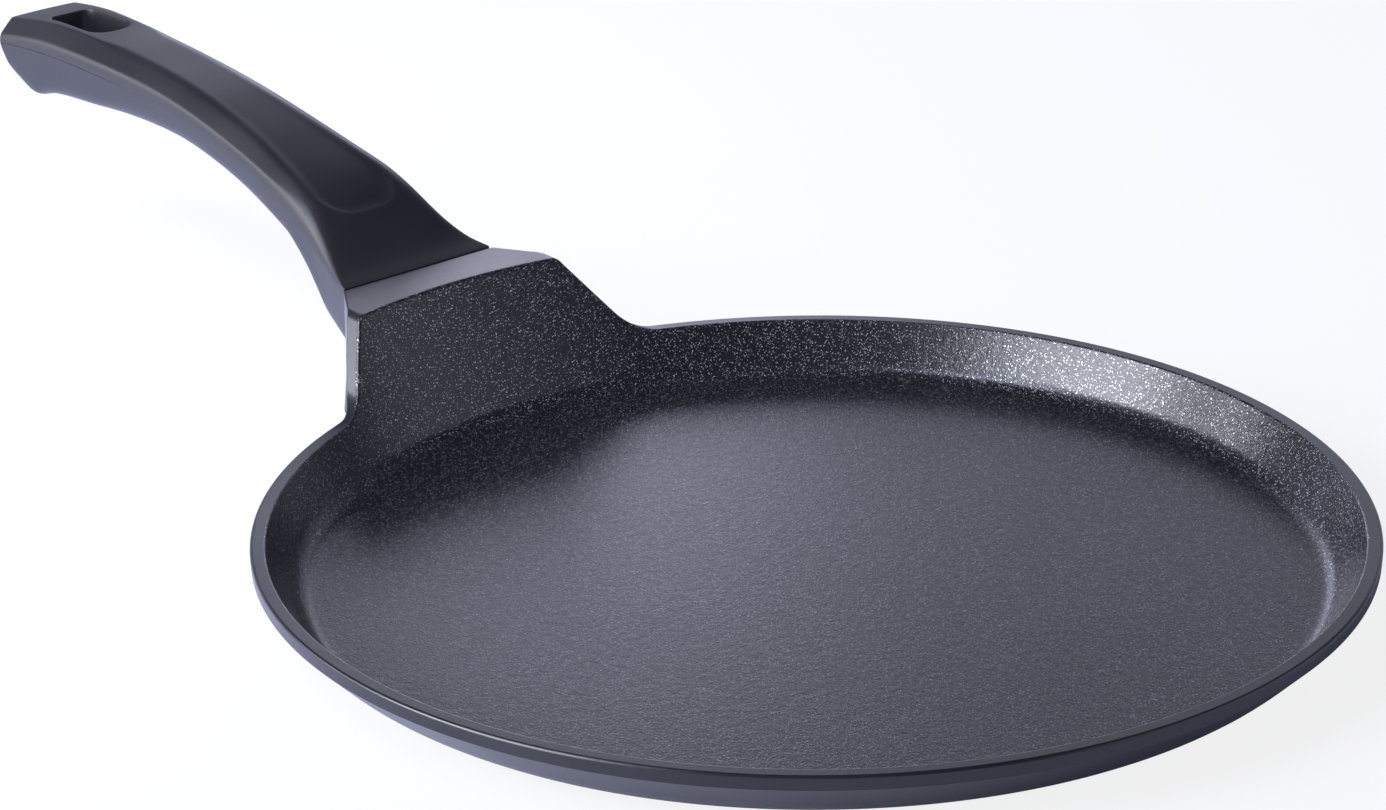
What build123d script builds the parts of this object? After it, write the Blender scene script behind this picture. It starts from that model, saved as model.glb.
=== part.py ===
from build123d import *
import math
import os

# Crepe pan, in millimetres and degrees.
# Origin at the centre of the base, resting plane at Z = 0, +Z up, handle along +X.

# Pan disc and side wall
rim_radius = 140.0
pan_height = 18.5
rim_width = 3.9
rim_rounding = 0.7
cook_depth = 13.1
wall_lean = 31.3
floor_fillet = 6.0
band_height = 3.6
band_draft = 0.2
skirt_lean = 45.0
skirt_rounding = 22.0
foot_height = 1.0
foot_step = 6.8
foot_chamfer = 0.4

# Flame guard and the lug behind it
guard_rise = 20.6
guard_thickness = 5.2
guard_half_width = 33.4
guard_side_lean = 34.0
guard_corner = 3.0
guard_foot_fillet = 12.0
guard_foot_run = 0.1
seat_reach = 23.6
seat_half_width = 25.2
seat_height = 19.3
lug_root_run = 1.0
lug_root_half_width = 39.0
lug_root_flare = 3.5

# Tongue cast on the lug, inside the grip
tongue_drop = 7.1
tongue_slope = 15.0
tongue_length = 24.0
tongue_width = 24.0
tongue_thickness = 7.0
tongue_rounding = 1.5
socket_clearance = 0.3
socket_tip_gap = 1.0

# Grip
grip_gap = 0.3
grip_length = 187.7
grip_half_width = 24.9
grip_rise = 34.0
grip_corner = 6.0
grip_side_draft = 3.4
bevel_width = 5.0
bevel_height = 4.8
dish_depth = 2.4
tail_height = 29.0
tail_lean = 31.3
tail_plan_radius = 36.0
tail_nose = 4.0
heel_radius = 16.5
heel_height = 10.0
grip_stations = 26

# Hanging slot
slot_length = 25.0
slot_width = 14.6
slot_end = 17.1
slot_front_corner = 6.0
slot_back_corner = 2.0

# Screw and washers
screw_radius = 2.5
screw_length = 12.0
screw_along = 10.8
screw_head_radius = 4.75
screw_head_height = 2.75
screw_head_rounding = 1.8
screw_fit = 0.05
screw_hole_clearance = 0.4
drive_length = 4.6
drive_width = 1.0
drive_depth = 1.6
washer_radius = 5.0
washer_thickness = 1.0
washer_bore_clearance = 0.15
lock_washer_radius = 4.6
lock_washer_thickness = 1.2
lock_washer_split = 1.0
clamped_wall = 3.0
recess_clearance = 0.4

# Base plate pressed into the foot
plate_margin = 14.0
plate_thickness = 0.8
plate_centre_radius = 14.0
perforation_radius = 2.0
perforation_pitch = 17.0
perforation_margin = 8.0
perforation_rings = 5

# Levels and reaches worked out from the sizes above
overrun = 5.0
rim_inner_radius = rim_radius - rim_width
wall_slope = math.tan(math.radians(wall_lean))
floor_top = pan_height - cook_depth
band_foot = pan_height - band_height
skirt_top = rim_radius - band_draft
skirt_foot = skirt_top - (band_foot - foot_height) * math.tan(math.radians(skirt_lean))
foot_radius = skirt_foot - skirt_rounding * math.tan(math.radians(skirt_lean) / 2) - foot_step
plate_radius = foot_radius - plate_margin
guard_top = pan_height + guard_rise
guard_front_radius = rim_inner_radius + wall_slope * guard_rise
lug_root_x = rim_radius + lug_root_run
seat_x = rim_radius + seat_reach
grip_front = seat_x + grip_gap
grip_end = grip_front + grip_length
seat_bottom = guard_top - seat_height

# Lines along the grip, as shares. The first number of each point is its place along the
# grip_length, from the lug to the tail
half_width_shares = (          # of grip_half_width
    (0.00, 1.00), (0.035, 0.935), (0.075, 0.863), (0.12, 0.800), (0.20, 0.732),
    (0.35, 0.627), (0.56, 0.558), (0.78, 0.586), (1.02, 0.660))
edge_height_shares = (         # of grip_rise, above the guard's top
    (0.00, 0.000), (0.035, 0.038), (0.075, 0.121), (0.12, 0.250), (0.16, 0.359),
    (0.25, 0.502), (0.35, 0.633), (0.46, 0.738), (0.57, 0.806), (0.70, 0.846),
    (0.82, 0.860), (0.92, 0.842), (1.02, 0.775))
underside_shares = (           # of grip_rise, above the guard's top
    (0.00, -0.568), (0.045, -0.503), (0.086, -0.438), (0.11, -0.330), (0.14, -0.170),
    (0.192, 0.041), (0.256, 0.182), (0.33, 0.292), (0.43, 0.380), (0.54, 0.418),
    (0.65, 0.412), (0.75, 0.376), (0.86, 0.340), (0.93, 0.255), (1.02, 0.180))
bevel_width_shares = (         # of bevel_width
    (0.00, 0.06), (0.045, 0.45), (0.088, 0.70), (0.14, 0.84), (0.25, 0.95),
    (0.43, 1.05), (0.56, 1.08), (0.75, 0.98), (1.02, 0.82))
bevel_height_shares = (        # of bevel_height
    (0.00, 0.05), (0.045, 0.25), (0.088, 0.55), (0.14, 0.92), (0.20, 1.00),
    (0.86, 1.00), (1.02, 0.88))
crown_shares = (               # of dish_depth, above zero where domed, below where dished
    (0.00, 0.05), (0.045, 0.30), (0.088, 0.65), (0.114, 0.20), (0.14, -0.45),
    (0.20, -0.78), (0.35, -0.90), (0.60, -1.00), (1.02, -1.00))


def corner_fillet(face, y, z, radius):
    """Round the corner of a flat outline that lies nearest to (y, z)."""
    return fillet(face.vertices().sort_by_distance((y, z)).first, radius)


def outline(*points):
    """Closed straight-sided outline."""
    return make_face(Polyline(*points, close=True))


def turned(face):
    """Solid of revolution about Z of an outline drawn as (radius, height)."""
    return revolve(Plane.XZ * face, axis=Axis.Z)


def across(face, start, reach):
    """Prism along +X of an outline drawn as (Y, Z), from X = start."""
    return extrude(Plane.YZ.offset(start) * face, reach)


def smooth_value(points, place):
    """Value at a place on a smooth curve through (place, value) points."""
    last = len(points) - 2
    step = max(i for i in range(last + 1) if points[i][0] <= place or i == 0)
    ends = points[step], points[step + 1]
    slopes = []
    for i in (step, step + 1):
        before, after = points[max(i - 1, 0)], points[min(i + 1, last + 1)]
        slopes.append((after[1] - before[1]) / (after[0] - before[0]))
    width = ends[1][0] - ends[0][0]
    t = (place - ends[0][0]) / width
    return ((1 + 2 * t) * (1 - t) ** 2 * ends[0][1] + t * (1 - t) ** 2 * width * slopes[0]
            + t ** 2 * (3 - 2 * t) * ends[1][1] + t ** 2 * (t - 1) * width * slopes[1])


def wall_radius(height):
    """Radius of the inside wall, or of the guard's front, at a height."""
    return rim_inner_radius + wall_slope * (height - pan_height)


# Pan

def pan_disc():
    """Cooking disc, side wall, rim and foot, turned in one."""
    floor_edge = wall_radius(floor_top)
    profile = outline(
        (0, 0),
        (foot_radius, 0),
        (foot_radius, foot_height),
        (skirt_foot, foot_height),
        (skirt_top, band_foot),
        (rim_radius, pan_height),
        (rim_inner_radius, pan_height),
        (floor_edge, floor_top),
        (0, floor_top),
    )
    profile = corner_fillet(profile, skirt_foot, foot_height, skirt_rounding)
    profile = corner_fillet(profile, floor_edge, floor_top, floor_fillet)
    profile = corner_fillet(profile, rim_radius, pan_height, rim_rounding)
    profile = corner_fillet(profile, rim_inner_radius, pan_height, rim_rounding)
    foot_corner = profile.vertices().sort_by_distance((foot_radius, 0)).first
    return turned(chamfer(foot_corner, foot_chamfer))


def guard_outline():
    """Front view of the flame guard, spreading into the rim at its foot."""
    spread = guard_rise * math.tan(math.radians(guard_side_lean))
    foot = guard_half_width + spread
    edge_turn = math.radians(90 - guard_side_lean)
    reach = foot + guard_foot_fillet * math.tan(edge_turn / 2) + guard_foot_run
    sheet = outline(
        (-reach, band_foot),
        (reach, band_foot),
        (reach, pan_height),
        (foot, pan_height),
        (guard_half_width, guard_top),
        (-guard_half_width, guard_top),
        (-foot, pan_height),
        (-reach, pan_height),
    )
    for side in (-1, 1):
        sheet = corner_fillet(sheet, side * foot, pan_height, guard_foot_fillet)
        sheet = corner_fillet(sheet, side * guard_half_width, guard_top, guard_corner)
    return sheet


def guard_shell():
    """Side wall carried on upwards at the guard's thickness, all the way round."""
    root = pan_height - band_height / 2
    return turned(outline(
        (wall_radius(root), root),
        (wall_radius(root) + rim_width, root),
        (rim_radius, pan_height),
        (rim_inner_radius + guard_thickness, pan_height + rim_rounding),
        (guard_front_radius + guard_thickness, guard_top),
        (guard_front_radius, guard_top),
    ))


def lug_block():
    """Lug behind the guard, narrowing to the flat seat for the grip."""
    low_half_width = lug_root_half_width + lug_root_flare
    root_face = outline(
        (-low_half_width, band_foot),
        (low_half_width, band_foot),
        (lug_root_half_width, guard_top),
        (-lug_root_half_width, guard_top),
    )
    seat_face = outline(
        (-seat_half_width, seat_bottom),
        (seat_half_width, seat_bottom),
        (seat_half_width, guard_top),
        (-seat_half_width, guard_top),
    )
    block = loft([Plane.YZ.offset(lug_root_x) * root_face, Plane.YZ.offset(seat_x) * seat_face],
                 ruled=True)
    block += across(root_face, lug_root_x, foot_radius - lug_root_x)
    middle = rim_width / 2
    inside = turned(outline(
        (0, floor_top),
        (rim_inner_radius, floor_top),
        (rim_inner_radius + middle, pan_height),
        (guard_front_radius + middle, guard_top),
        (guard_front_radius + middle, guard_top + overrun),
        (0, guard_top + overrun),
    ))
    return block - inside


def guard_and_lug():
    """Flame guard with the lug behind it, trimmed to the guard's front view."""
    return (guard_shell() + lug_block()) & across(guard_outline(), 0, seat_x)


def tongue_plane(along, lift):
    """Plane on the tongue's centre line, its normal square to the tongue's broad faces."""
    slope = math.radians(tongue_slope)
    start = Vector(seat_x, 0, guard_top - tongue_drop)
    run = Vector(math.cos(slope), 0, math.sin(slope))
    square = Vector(-math.sin(slope), 0, math.cos(slope))
    return Plane(origin=start + run * along + square * lift, x_dir=run, z_dir=square)


def tongue():
    """Sloping tongue, rooted inside the lug, with the screw's hole."""
    root = tongue_width / 2
    bar = Box(tongue_length + root, tongue_width, tongue_thickness)
    bar = fillet(bar.edges().filter_by(Axis.X) + bar.faces().sort_by(Axis.X).last.edges(),
                 tongue_rounding)
    return tongue_plane((tongue_length - root) / 2, 0) * bar


def screw_hole_in_tongue():
    """Hole for the screw's thread, through the tongue."""
    hole = Cylinder(screw_radius + screw_fit, tongue_thickness + 2 * overrun)
    return tongue_plane(screw_along, 0) * hole


def base_plate():
    """Steel disc in the foot, with rings of holes that the casting fills."""
    disc = Cylinder(plate_radius, plate_thickness, align=(Align.CENTER, Align.CENTER, Align.MIN))
    holes = [Cylinder(plate_centre_radius, 2 * plate_thickness)]
    inner = plate_centre_radius + perforation_margin
    outer = plate_radius - perforation_margin
    for ring in range(perforation_rings):
        radius = inner + (outer - inner) * ring / (perforation_rings - 1)
        count = round(2 * math.pi * radius / perforation_pitch)
        hole = Cylinder(perforation_radius, 2 * plate_thickness)
        holes += [place * hole for place in PolarLocations(radius, count)]
    return disc - holes


def pan_body(plate):
    """The casting: disc, wall, guard, lug and tongue, recessed for the base plate."""
    body = pan_disc() + guard_and_lug() + tongue()
    return body - screw_hole_in_tongue() - plate


# Grip

def grip_section(place):
    """Cross-section of the grip at a place along it, from 0 at the lug to 1 at the tail."""
    half = smooth_value(half_width_shares, place) * grip_half_width
    edge_z = guard_top + smooth_value(edge_height_shares, place) * grip_rise
    ridge = half - smooth_value(bevel_width_shares, place) * bevel_width
    ridge_z = edge_z + smooth_value(bevel_height_shares, place) * bevel_height
    crown_z = ridge_z + 2 * smooth_value(crown_shares, place) * dish_depth
    low_z = guard_top + smooth_value(underside_shares, place) * grip_rise
    draft = math.tan(math.radians(grip_side_draft))
    low_half = half - draft * (edge_z - low_z - grip_corner)
    flat = low_half - grip_corner
    corner_z = low_z + grip_corner
    edges = [
        Bezier((-ridge, ridge_z), (0, crown_z), (ridge, ridge_z)),
        Line((-flat, low_z), (flat, low_z)),
    ]
    for side in (-1, 1):
        edges.append(Line((side * ridge, ridge_z), (side * half, edge_z)))
        edges.append(Line((side * half, edge_z), (side * low_half, corner_z)))
        edges.append(Bezier((side * low_half, corner_z), (side * low_half, low_z),
                            (side * flat, low_z)))
    return Plane.YZ.offset(grip_front + place * grip_length) * make_face(edges)


def tail_trim():
    """Block that gives the grip its flat, rounded heel and its bowed, leaning end."""
    heel_z = guard_top + heel_height
    nose_z = guard_top + tail_height
    heel_x = grip_end - (nose_z - heel_z) * math.tan(math.radians(tail_lean))
    high = nose_z + grip_rise
    side_view = outline(
        (grip_front, seat_bottom - overrun),
        (heel_x - 3 * heel_radius, seat_bottom - overrun),
        (heel_x - 2 * heel_radius, heel_z),
        (heel_x, heel_z),
        (grip_end, nose_z),
        (grip_end - tail_nose, high),
        (grip_front, high),
    )
    side_view = corner_fillet(side_view, heel_x, heel_z, heel_radius)
    side_view = corner_fillet(side_view, grip_end, nose_z, tail_nose)
    slab = extrude(Plane.XZ * side_view, grip_half_width + overrun, both=True)
    bow_x = grip_end - tail_plan_radius
    bow = Pos(bow_x, 0, 0) * Cylinder(tail_plan_radius, 2 * high)
    bow += Pos((grip_front + bow_x) / 2, 0, 0) * Box(
        bow_x - grip_front, 2 * tail_plan_radius, 2 * high)
    return slab & bow


def hanging_slot():
    """Slot through the tail: round towards the pan, nearly square at the tail."""
    back = grip_end - slot_end
    front = back - slot_length
    half = slot_width / 2
    plan = outline((front, -half), (back, -half), (back, half), (front, half))
    for side in (-1, 1):
        plan = corner_fillet(plan, front, side * half, slot_front_corner)
        plan = corner_fillet(plan, back, side * half, slot_back_corner)
    return extrude(plan, 2 * (guard_top + grip_rise))


def socket():
    """Socket for the tongue, touching its underside and clear of its other faces."""
    length = tongue_length + socket_tip_gap + overrun
    height = tongue_thickness + socket_clearance
    box = Box(length, tongue_width + 2 * socket_clearance, height)
    return tongue_plane((length - 2 * overrun) / 2, socket_clearance / 2) * box


def screw_plane(drop):
    """Plane square to the screw, a distance below the tongue's underside."""
    return tongue_plane(screw_along, -tongue_thickness / 2 - drop)


def standing(radius, height):
    """Cylinder that stands on its plane."""
    return Cylinder(radius, height, align=(Align.CENTER, Align.CENTER, Align.MIN))


def screw_recess():
    """Stepped hole in the grip's belly for the screw and its washers."""
    hole = screw_plane(clamped_wall + overrun) * standing(
        screw_radius + screw_hole_clearance, clamped_wall + 2 * overrun)
    recess_depth = seat_height
    wide = screw_plane(clamped_wall + recess_depth) * standing(
        washer_radius + recess_clearance, recess_depth)
    return hole + wide


def handle_grip():
    """Phenolic moulding: dished top, bevelled edges, belly at the lug, slot at the tail."""
    end_share = half_width_shares[-1][0]
    places = [end_share * i / (grip_stations - 1) for i in range(grip_stations)]
    blank = loft([grip_section(place) for place in places])
    return (blank & tail_trim()) - hanging_slot() - socket() - screw_recess()


# Fasteners, from the clamped wall down

def washer(radius, thickness, drop):
    """Plain ring around the screw, its upper face a distance below the tongue."""
    ring = standing(radius, thickness) - standing(screw_radius + washer_bore_clearance, thickness)
    return screw_plane(drop + thickness) * ring


def flat_washer():
    """Plain washer against the clamped wall."""
    return washer(washer_radius, washer_thickness, clamped_wall)


def lock_washer():
    """Split spring washer, drawn closed up flat as it is under load."""
    drop = clamped_wall + washer_thickness
    ring = washer(lock_washer_radius, lock_washer_thickness, drop)
    split = Box(lock_washer_radius, lock_washer_split, 2 * lock_washer_thickness,
                align=(Align.MIN, Align.CENTER, Align.CENTER))
    return ring - screw_plane(drop + lock_washer_thickness / 2) * split


def handle_screw():
    """Machine screw with a domed head and a cross recess."""
    drop = clamped_wall + washer_thickness + lock_washer_thickness
    head = standing(screw_head_radius, screw_head_height)
    head = fillet(head.edges().sort_by(Axis.Z).first, screw_head_rounding)
    for turn in (0, 90):
        head -= Rot(0, 0, turn) * Box(drive_length, drive_width, 2 * drive_depth)
    head = screw_plane(drop + screw_head_height) * head
    shank = screw_plane(drop) * standing(screw_radius, screw_length)
    return head + shank


def build():
    """Every piece of the pan, by name."""
    plate = base_plate()
    return {
        "pan_body": pan_body(plate),
        "induction_plate": plate,
        "handle_grip": handle_grip(),
        "handle_screw": handle_screw(),
        "lock_washer": lock_washer(),
        "flat_washer": flat_washer(),
    }


os.makedirs("parts", exist_ok=True)
for name, piece in build().items():
    export_step(piece, f"parts/{name}.step")
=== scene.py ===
"""Dressed model of a crepe pan: a coated casting with a flame guard, and a moulded grip.

Sizes in the classes are in millimetres and degrees, and are made metres where a mesh is built.
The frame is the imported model's: the origin is the centre of the base on the resting plane,
+X runs along the handle and +Z is up.
"""
import logging
import math
from collections.abc import Callable
from dataclasses import dataclass
from enum import Enum

import bmesh
import bpy
import numpy as np
from mathutils import Matrix, Vector


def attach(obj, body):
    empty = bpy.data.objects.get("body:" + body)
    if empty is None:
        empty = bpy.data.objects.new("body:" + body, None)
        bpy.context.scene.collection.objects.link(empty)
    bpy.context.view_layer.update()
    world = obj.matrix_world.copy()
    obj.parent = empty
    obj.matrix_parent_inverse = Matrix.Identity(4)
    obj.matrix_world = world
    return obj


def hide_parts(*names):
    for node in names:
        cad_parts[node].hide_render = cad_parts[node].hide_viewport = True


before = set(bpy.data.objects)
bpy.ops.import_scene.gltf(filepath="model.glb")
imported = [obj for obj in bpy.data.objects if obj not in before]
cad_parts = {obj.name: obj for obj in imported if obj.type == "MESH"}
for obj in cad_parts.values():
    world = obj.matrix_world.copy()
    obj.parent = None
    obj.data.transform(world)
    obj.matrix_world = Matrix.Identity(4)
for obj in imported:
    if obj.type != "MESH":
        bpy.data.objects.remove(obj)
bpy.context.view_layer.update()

MM = 0.001
SHARP_ANGLE = 40.0
ROUND_SIDES = 48
SEARCH_STEPS = 48
LOG = logging.getLogger("crepe_pan")

Colour = tuple[float, float, float]
Triple = tuple[float, float, float]
Points = np.ndarray


# Shape helpers

def smooth_step(value: Points, low: float, high: float) -> Points:
    """Ease from 0 at low to 1 at high."""
    t = np.clip((value - low) / (high - low), 0.0, 1.0)
    return t * t * (3 - 2 * t)


def soft_min(a: Points, b: Points, width: float) -> Points:
    """Lower of two values, rounded where they are nearly equal.

    Args:
        a: First value.
        b: Second value.
        width: Difference at which the rounding starts.

    Returns:
        The rounded minimum.
    """
    h = np.clip(0.5 + 0.5 * (b - a) / width, 0.0, 1.0)
    return b * (1 - h) + a * h - width * h * (1 - h)


def soft_max(a: Points, b: Points, width: float) -> Points:
    """Higher of two values, rounded where they are nearly equal."""
    return -soft_min(-a, -b, width)


def smooth_value(points: tuple, place: Points) -> Points:
    """Value at a place on a smooth curve through (place, value) points.

    Args:
        points: The curve's points, in order.
        place: Where to read it.

    Returns:
        The curve's values.
    """
    xs = np.array([p[0] for p in points])
    ys = np.array([p[1] for p in points])
    last = len(xs) - 1
    before = np.maximum(np.arange(last + 1) - 1, 0)
    after = np.minimum(np.arange(last + 1) + 1, last)
    slopes = (ys[after] - ys[before]) / (xs[after] - xs[before])
    place = np.asarray(place, float)
    step = np.clip(np.searchsorted(xs, place, side="right") - 1, 0, last - 1)
    width = xs[step + 1] - xs[step]
    t = (place - xs[step]) / width
    return ((1 + 2 * t) * (1 - t) ** 2 * ys[step] + t * (1 - t) ** 2 * width * slopes[step]
            + t ** 2 * (3 - 2 * t) * ys[step + 1] + t ** 2 * (t - 1) * width * slopes[step + 1])


def bend(a: Points, corner: Points, b: Points, count: int) -> list[Points]:
    """Points of a curve from a to b that is pulled towards a corner, both ends included."""
    return [(1 - t) ** 2 * a + 2 * t * (1 - t) * corner + t * t * b
            for t in np.linspace(0.0, 1.0, count + 1)]


def unit(vectors: Points) -> Points:
    """Vectors scaled to a length of one."""
    return vectors / np.linalg.norm(vectors, axis=-1, keepdims=True)


def mirrored(half: Points) -> Points:
    """Closed line from half of one and its mirror image across the XZ plane."""
    return np.concatenate([half, half[-2:0:-1] * np.array([1, -1, 1])])


def band(a: list[int], b: list[int]) -> list[tuple[int, ...]]:
    """Faces between two closed loops of as many point numbers."""
    return [(a[j], a[j + 1 - len(a)], b[j + 1 - len(b)], b[j]) for j in range(len(a))]


def rounded_edge(edge: Points, down_a: Points, down_b: Points, radius: Points,
                 count: int) -> list[Points]:
    """Rows of points round an edge that is a closed line.

    Args:
        edge: Points of the sharp edge.
        down_a: Directions from the edge into the first face.
        down_b: Directions from the edge into the second face.
        radius: Rounding radius at each point.
        count: Number of steps round the edge.

    Returns:
        Rows from the first face to the second.
    """
    along = unit(np.roll(edge, -1, axis=0) - np.roll(edge, 1, axis=0))
    a = unit(down_a - np.sum(down_a * along, axis=1, keepdims=True) * along)
    b = unit(down_b - np.sum(down_b * along, axis=1, keepdims=True) * along)
    between = np.arccos(np.clip(np.sum(a * b, axis=1, keepdims=True), -1, 1))
    middle = unit(a + b)
    centre = edge + middle * radius[:, None] / np.sin(between / 2)
    reach = radius[:, None] / np.tan(between / 2)
    arm_a, arm_b = edge + a * reach - centre, edge + b * reach - centre
    turn = math.pi - between
    return [centre + (np.sin((1 - t) * turn) * arm_a + np.sin(t * turn) * arm_b) / np.sin(turn)
            for t in np.linspace(0.0, 1.0, count + 1)]


# Mesh helpers

def smooth(mesh: bpy.types.Mesh, crease: float = SHARP_ANGLE) -> None:
    """Shade a mesh smooth but for edges sharper than the crease angle."""
    mesh.polygons.foreach_set("use_smooth", [True] * len(mesh.polygons))
    mesh.set_sharp_from_angle(angle=math.radians(crease))


def in_scene(name: str, data: bpy.types.ID) -> bpy.types.Object:
    """Object with its data, linked to the scene."""
    piece = bpy.data.objects.new(name, data)
    bpy.context.scene.collection.objects.link(piece)
    return piece


def mesh_object(name: str, points: Points, faces: list, slots: list[int] | None = None,
                crease: float = SHARP_ANGLE) -> bpy.types.Object:
    """Object from points in millimetres, smooth but for edges sharper than the crease angle.

    Args:
        name: Name of the piece.
        points: Its points.
        faces: Its faces, as lists of point numbers.
        slots: Material slot of each face, or none for the first slot.
        crease: Angle above which an edge stays sharp.

    Returns:
        The new object, at the origin.
    """
    mesh = bpy.data.meshes.new(name)
    mesh.from_pydata([tuple(p) for p in np.asarray(points) * MM], [], faces)
    if slots is not None:
        mesh.polygons.foreach_set("material_index", slots)
    smooth(mesh, crease)
    mesh.update()
    return in_scene(name, mesh)


def bake_modifiers(piece: bpy.types.Object) -> None:
    """Turn a piece's modifiers into its plain mesh."""
    graph = bpy.context.evaluated_depsgraph_get()
    mesh = bpy.data.meshes.new_from_object(piece.evaluated_get(graph))
    piece.modifiers.clear()
    old = piece.data
    piece.data = mesh
    bpy.data.meshes.remove(old)


def carve(piece: bpy.types.Object, cutters: list[bpy.types.Object]) -> None:
    """Cut other closed shapes out of a piece, and delete them.

    Args:
        piece: The piece to cut.
        cutters: The shapes to take away.
    """
    for cutter in cutters:
        cut = piece.modifiers.new("cut", "BOOLEAN")
        cut.operation, cut.solver, cut.object = "DIFFERENCE", "EXACT", cutter
    bake_modifiers(piece)
    for cutter in cutters:
        bpy.data.objects.remove(cutter)


def block(name: str, size: Triple, place: Matrix, rounding: float = 0.0) -> bpy.types.Object:
    """Box with rounded edges, centred on a place given in millimetres.

    Args:
        name: Name of the box.
        size: Its length, width and height.
        place: Where it stands and how it is turned.
        rounding: Radius of its edges.

    Returns:
        The box.
    """
    shape = bmesh.new()
    bmesh.ops.create_cube(shape, size=1.0, matrix=Matrix.Diagonal((*size, 1.0)))
    if rounding:
        bmesh.ops.bevel(shape, geom=shape.edges[:], offset=rounding, segments=4, profile=0.5,
                        affect="EDGES")
    return finished_shape(name, shape, place)


def rod(name: str, radius: float, height: float, place: Matrix) -> bpy.types.Object:
    """Cylinder that stands on a place given in millimetres."""
    shape = bmesh.new()
    lift = Matrix.Translation((0, 0, height / 2))
    bmesh.ops.create_cone(shape, cap_ends=True, segments=ROUND_SIDES, radius1=radius,
                          radius2=radius, depth=height, matrix=lift)
    return finished_shape(name, shape, place)


def finished_shape(name: str, shape: bmesh.types.BMesh, place: Matrix) -> bpy.types.Object:
    """Object from a mesh being edited, put in its place, in metres."""
    bmesh.ops.transform(shape, matrix=Matrix.Scale(MM, 4) @ place, verts=shape.verts)
    bmesh.ops.recalc_face_normals(shape, faces=shape.faces)
    mesh = bpy.data.meshes.new(name)
    shape.to_mesh(mesh)
    shape.free()
    smooth(mesh)
    return in_scene(name, mesh)


def join(target: bpy.types.Object, parts: list[bpy.types.Object]) -> None:
    """Join other meshes into the target."""
    for part in bpy.context.selected_objects:
        part.select_set(False)
    for part in [target, *parts]:
        part.select_set(True)
    bpy.context.view_layer.objects.active = target
    bpy.ops.object.join()
    target.select_set(False)


# Finishes

class Sheet:
    """Short way to add and join the nodes of one tree."""

    def __init__(self, tree: bpy.types.NodeTree) -> None:
        """Keep the tree and its next free column."""
        self.tree = tree
        self.column = 0

    def add(self, kind: str, inputs: dict | None = None, **settings: object) -> bpy.types.Node:
        """New node with its settings and its inputs, which are values or other nodes' sockets.

        Args:
            kind: Blender's name of the node type.
            inputs: Input names or numbers with their values or sockets.
            **settings: Properties of the node.

        Returns:
            The node.
        """
        node = self.tree.nodes.new(kind)
        node.location = (self.column, 0)
        self.column += 190
        for name, value in settings.items():
            setattr(node, name, value)
        for name, value in (inputs or {}).items():
            if isinstance(value, bpy.types.NodeSocket):
                self.tree.links.new(value, node.inputs[name])
            else:
                node.inputs[name].default_value = value
        return node

    def math(self, operation: str, *values: object) -> bpy.types.NodeSocket:
        """Result of a Math node on values or sockets."""
        node = self.add("ShaderNodeMath", dict(enumerate(values)), operation=operation)
        return node.outputs[0]

    def span(self, value: bpy.types.NodeSocket, low: float, high: float, start: float = 0.0,
             end: float = 1.0) -> bpy.types.NodeSocket:
        """Value moved smoothly from the range low..high to the range start..end."""
        inputs = {"Value": value, "From Min": low, "From Max": high, "To Min": start,
                  "To Max": end}
        node = self.add("ShaderNodeMapRange", inputs, interpolation_type="SMOOTHSTEP")
        return node.outputs["Result"]

    def tint(self, share: object, low: object, high: object) -> bpy.types.NodeSocket:
        """Colour between two colours, or sockets, by a share."""
        ends = {name: end if isinstance(end, bpy.types.NodeSocket) else (*end, 1.0)
                for name, end in (("A", low), ("B", high))}
        node = self.add("ShaderNodeMix", {"Factor": share, **ends}, data_type="RGBA")
        return node.outputs["Result"]

    def effect(self, tree: bpy.types.NodeTree, place: bpy.types.NodeSocket,
               **values: float) -> bpy.types.NodeInputs:
        """Outputs of a shared effect, read at a place with its own values."""
        inputs = {name.replace("_", " "): value for name, value in values.items()}
        node = self.add("ShaderNodeGroup", {"Vector": place, **inputs}, node_tree=tree)
        return node.outputs

    def distance(self, place: bpy.types.NodeSocket) -> bpy.types.NodeSocket:
        """Distance of a place from the Z axis."""
        flat = self.add("ShaderNodeVectorMath", {0: place, 1: (1.0, 1.0, 0.0)},
                        operation="MULTIPLY")
        length = self.add("ShaderNodeVectorMath", {0: flat.outputs["Vector"]},
                          operation="LENGTH")
        return length.outputs["Value"]

    def noise(self, **inputs: object) -> bpy.types.NodeSocket:
        """Value of a noise, along a line where it is given W."""
        sides = "1D" if "W" in inputs else "3D"
        return self.add("ShaderNodeTexNoise", inputs, noise_dimensions=sides).outputs["Fac"]

    def lead(self, node: bpy.types.Node, **sockets: bpy.types.NodeSocket) -> None:
        """Join sockets to a node's inputs by name."""
        for name, socket in sockets.items():
            self.tree.links.new(socket, node.inputs[name])


def new_group(name: str, inputs: dict[str, object], outputs: tuple[str, ...]
              ) -> tuple[Sheet, dict[str, bpy.types.NodeSocket], bpy.types.Node]:
    """Empty shader group with named inputs and outputs.

    Args:
        name: Name of the group.
        inputs: Input names with their default numbers, or "VECTOR".
        outputs: Names of the outputs, which are numbers.

    Returns:
        The group's sheet, its inputs' sockets by name, and its output node.
    """
    tree = bpy.data.node_groups.new(name, "ShaderNodeTree")
    for label, value in inputs.items():
        kind = "NodeSocketVector" if value == "VECTOR" else "NodeSocketFloat"
        socket = tree.interface.new_socket(label, in_out="INPUT", socket_type=kind)
        if value != "VECTOR":
            socket.default_value = value
    for label in outputs:
        tree.interface.new_socket(label, in_out="OUTPUT", socket_type="NodeSocketFloat")
    sheet = Sheet(tree)
    entry = sheet.add("NodeGroupInput")
    leave = sheet.add("NodeGroupOutput")
    return sheet, {label: entry.outputs[label] for label in inputs}, leave


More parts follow.
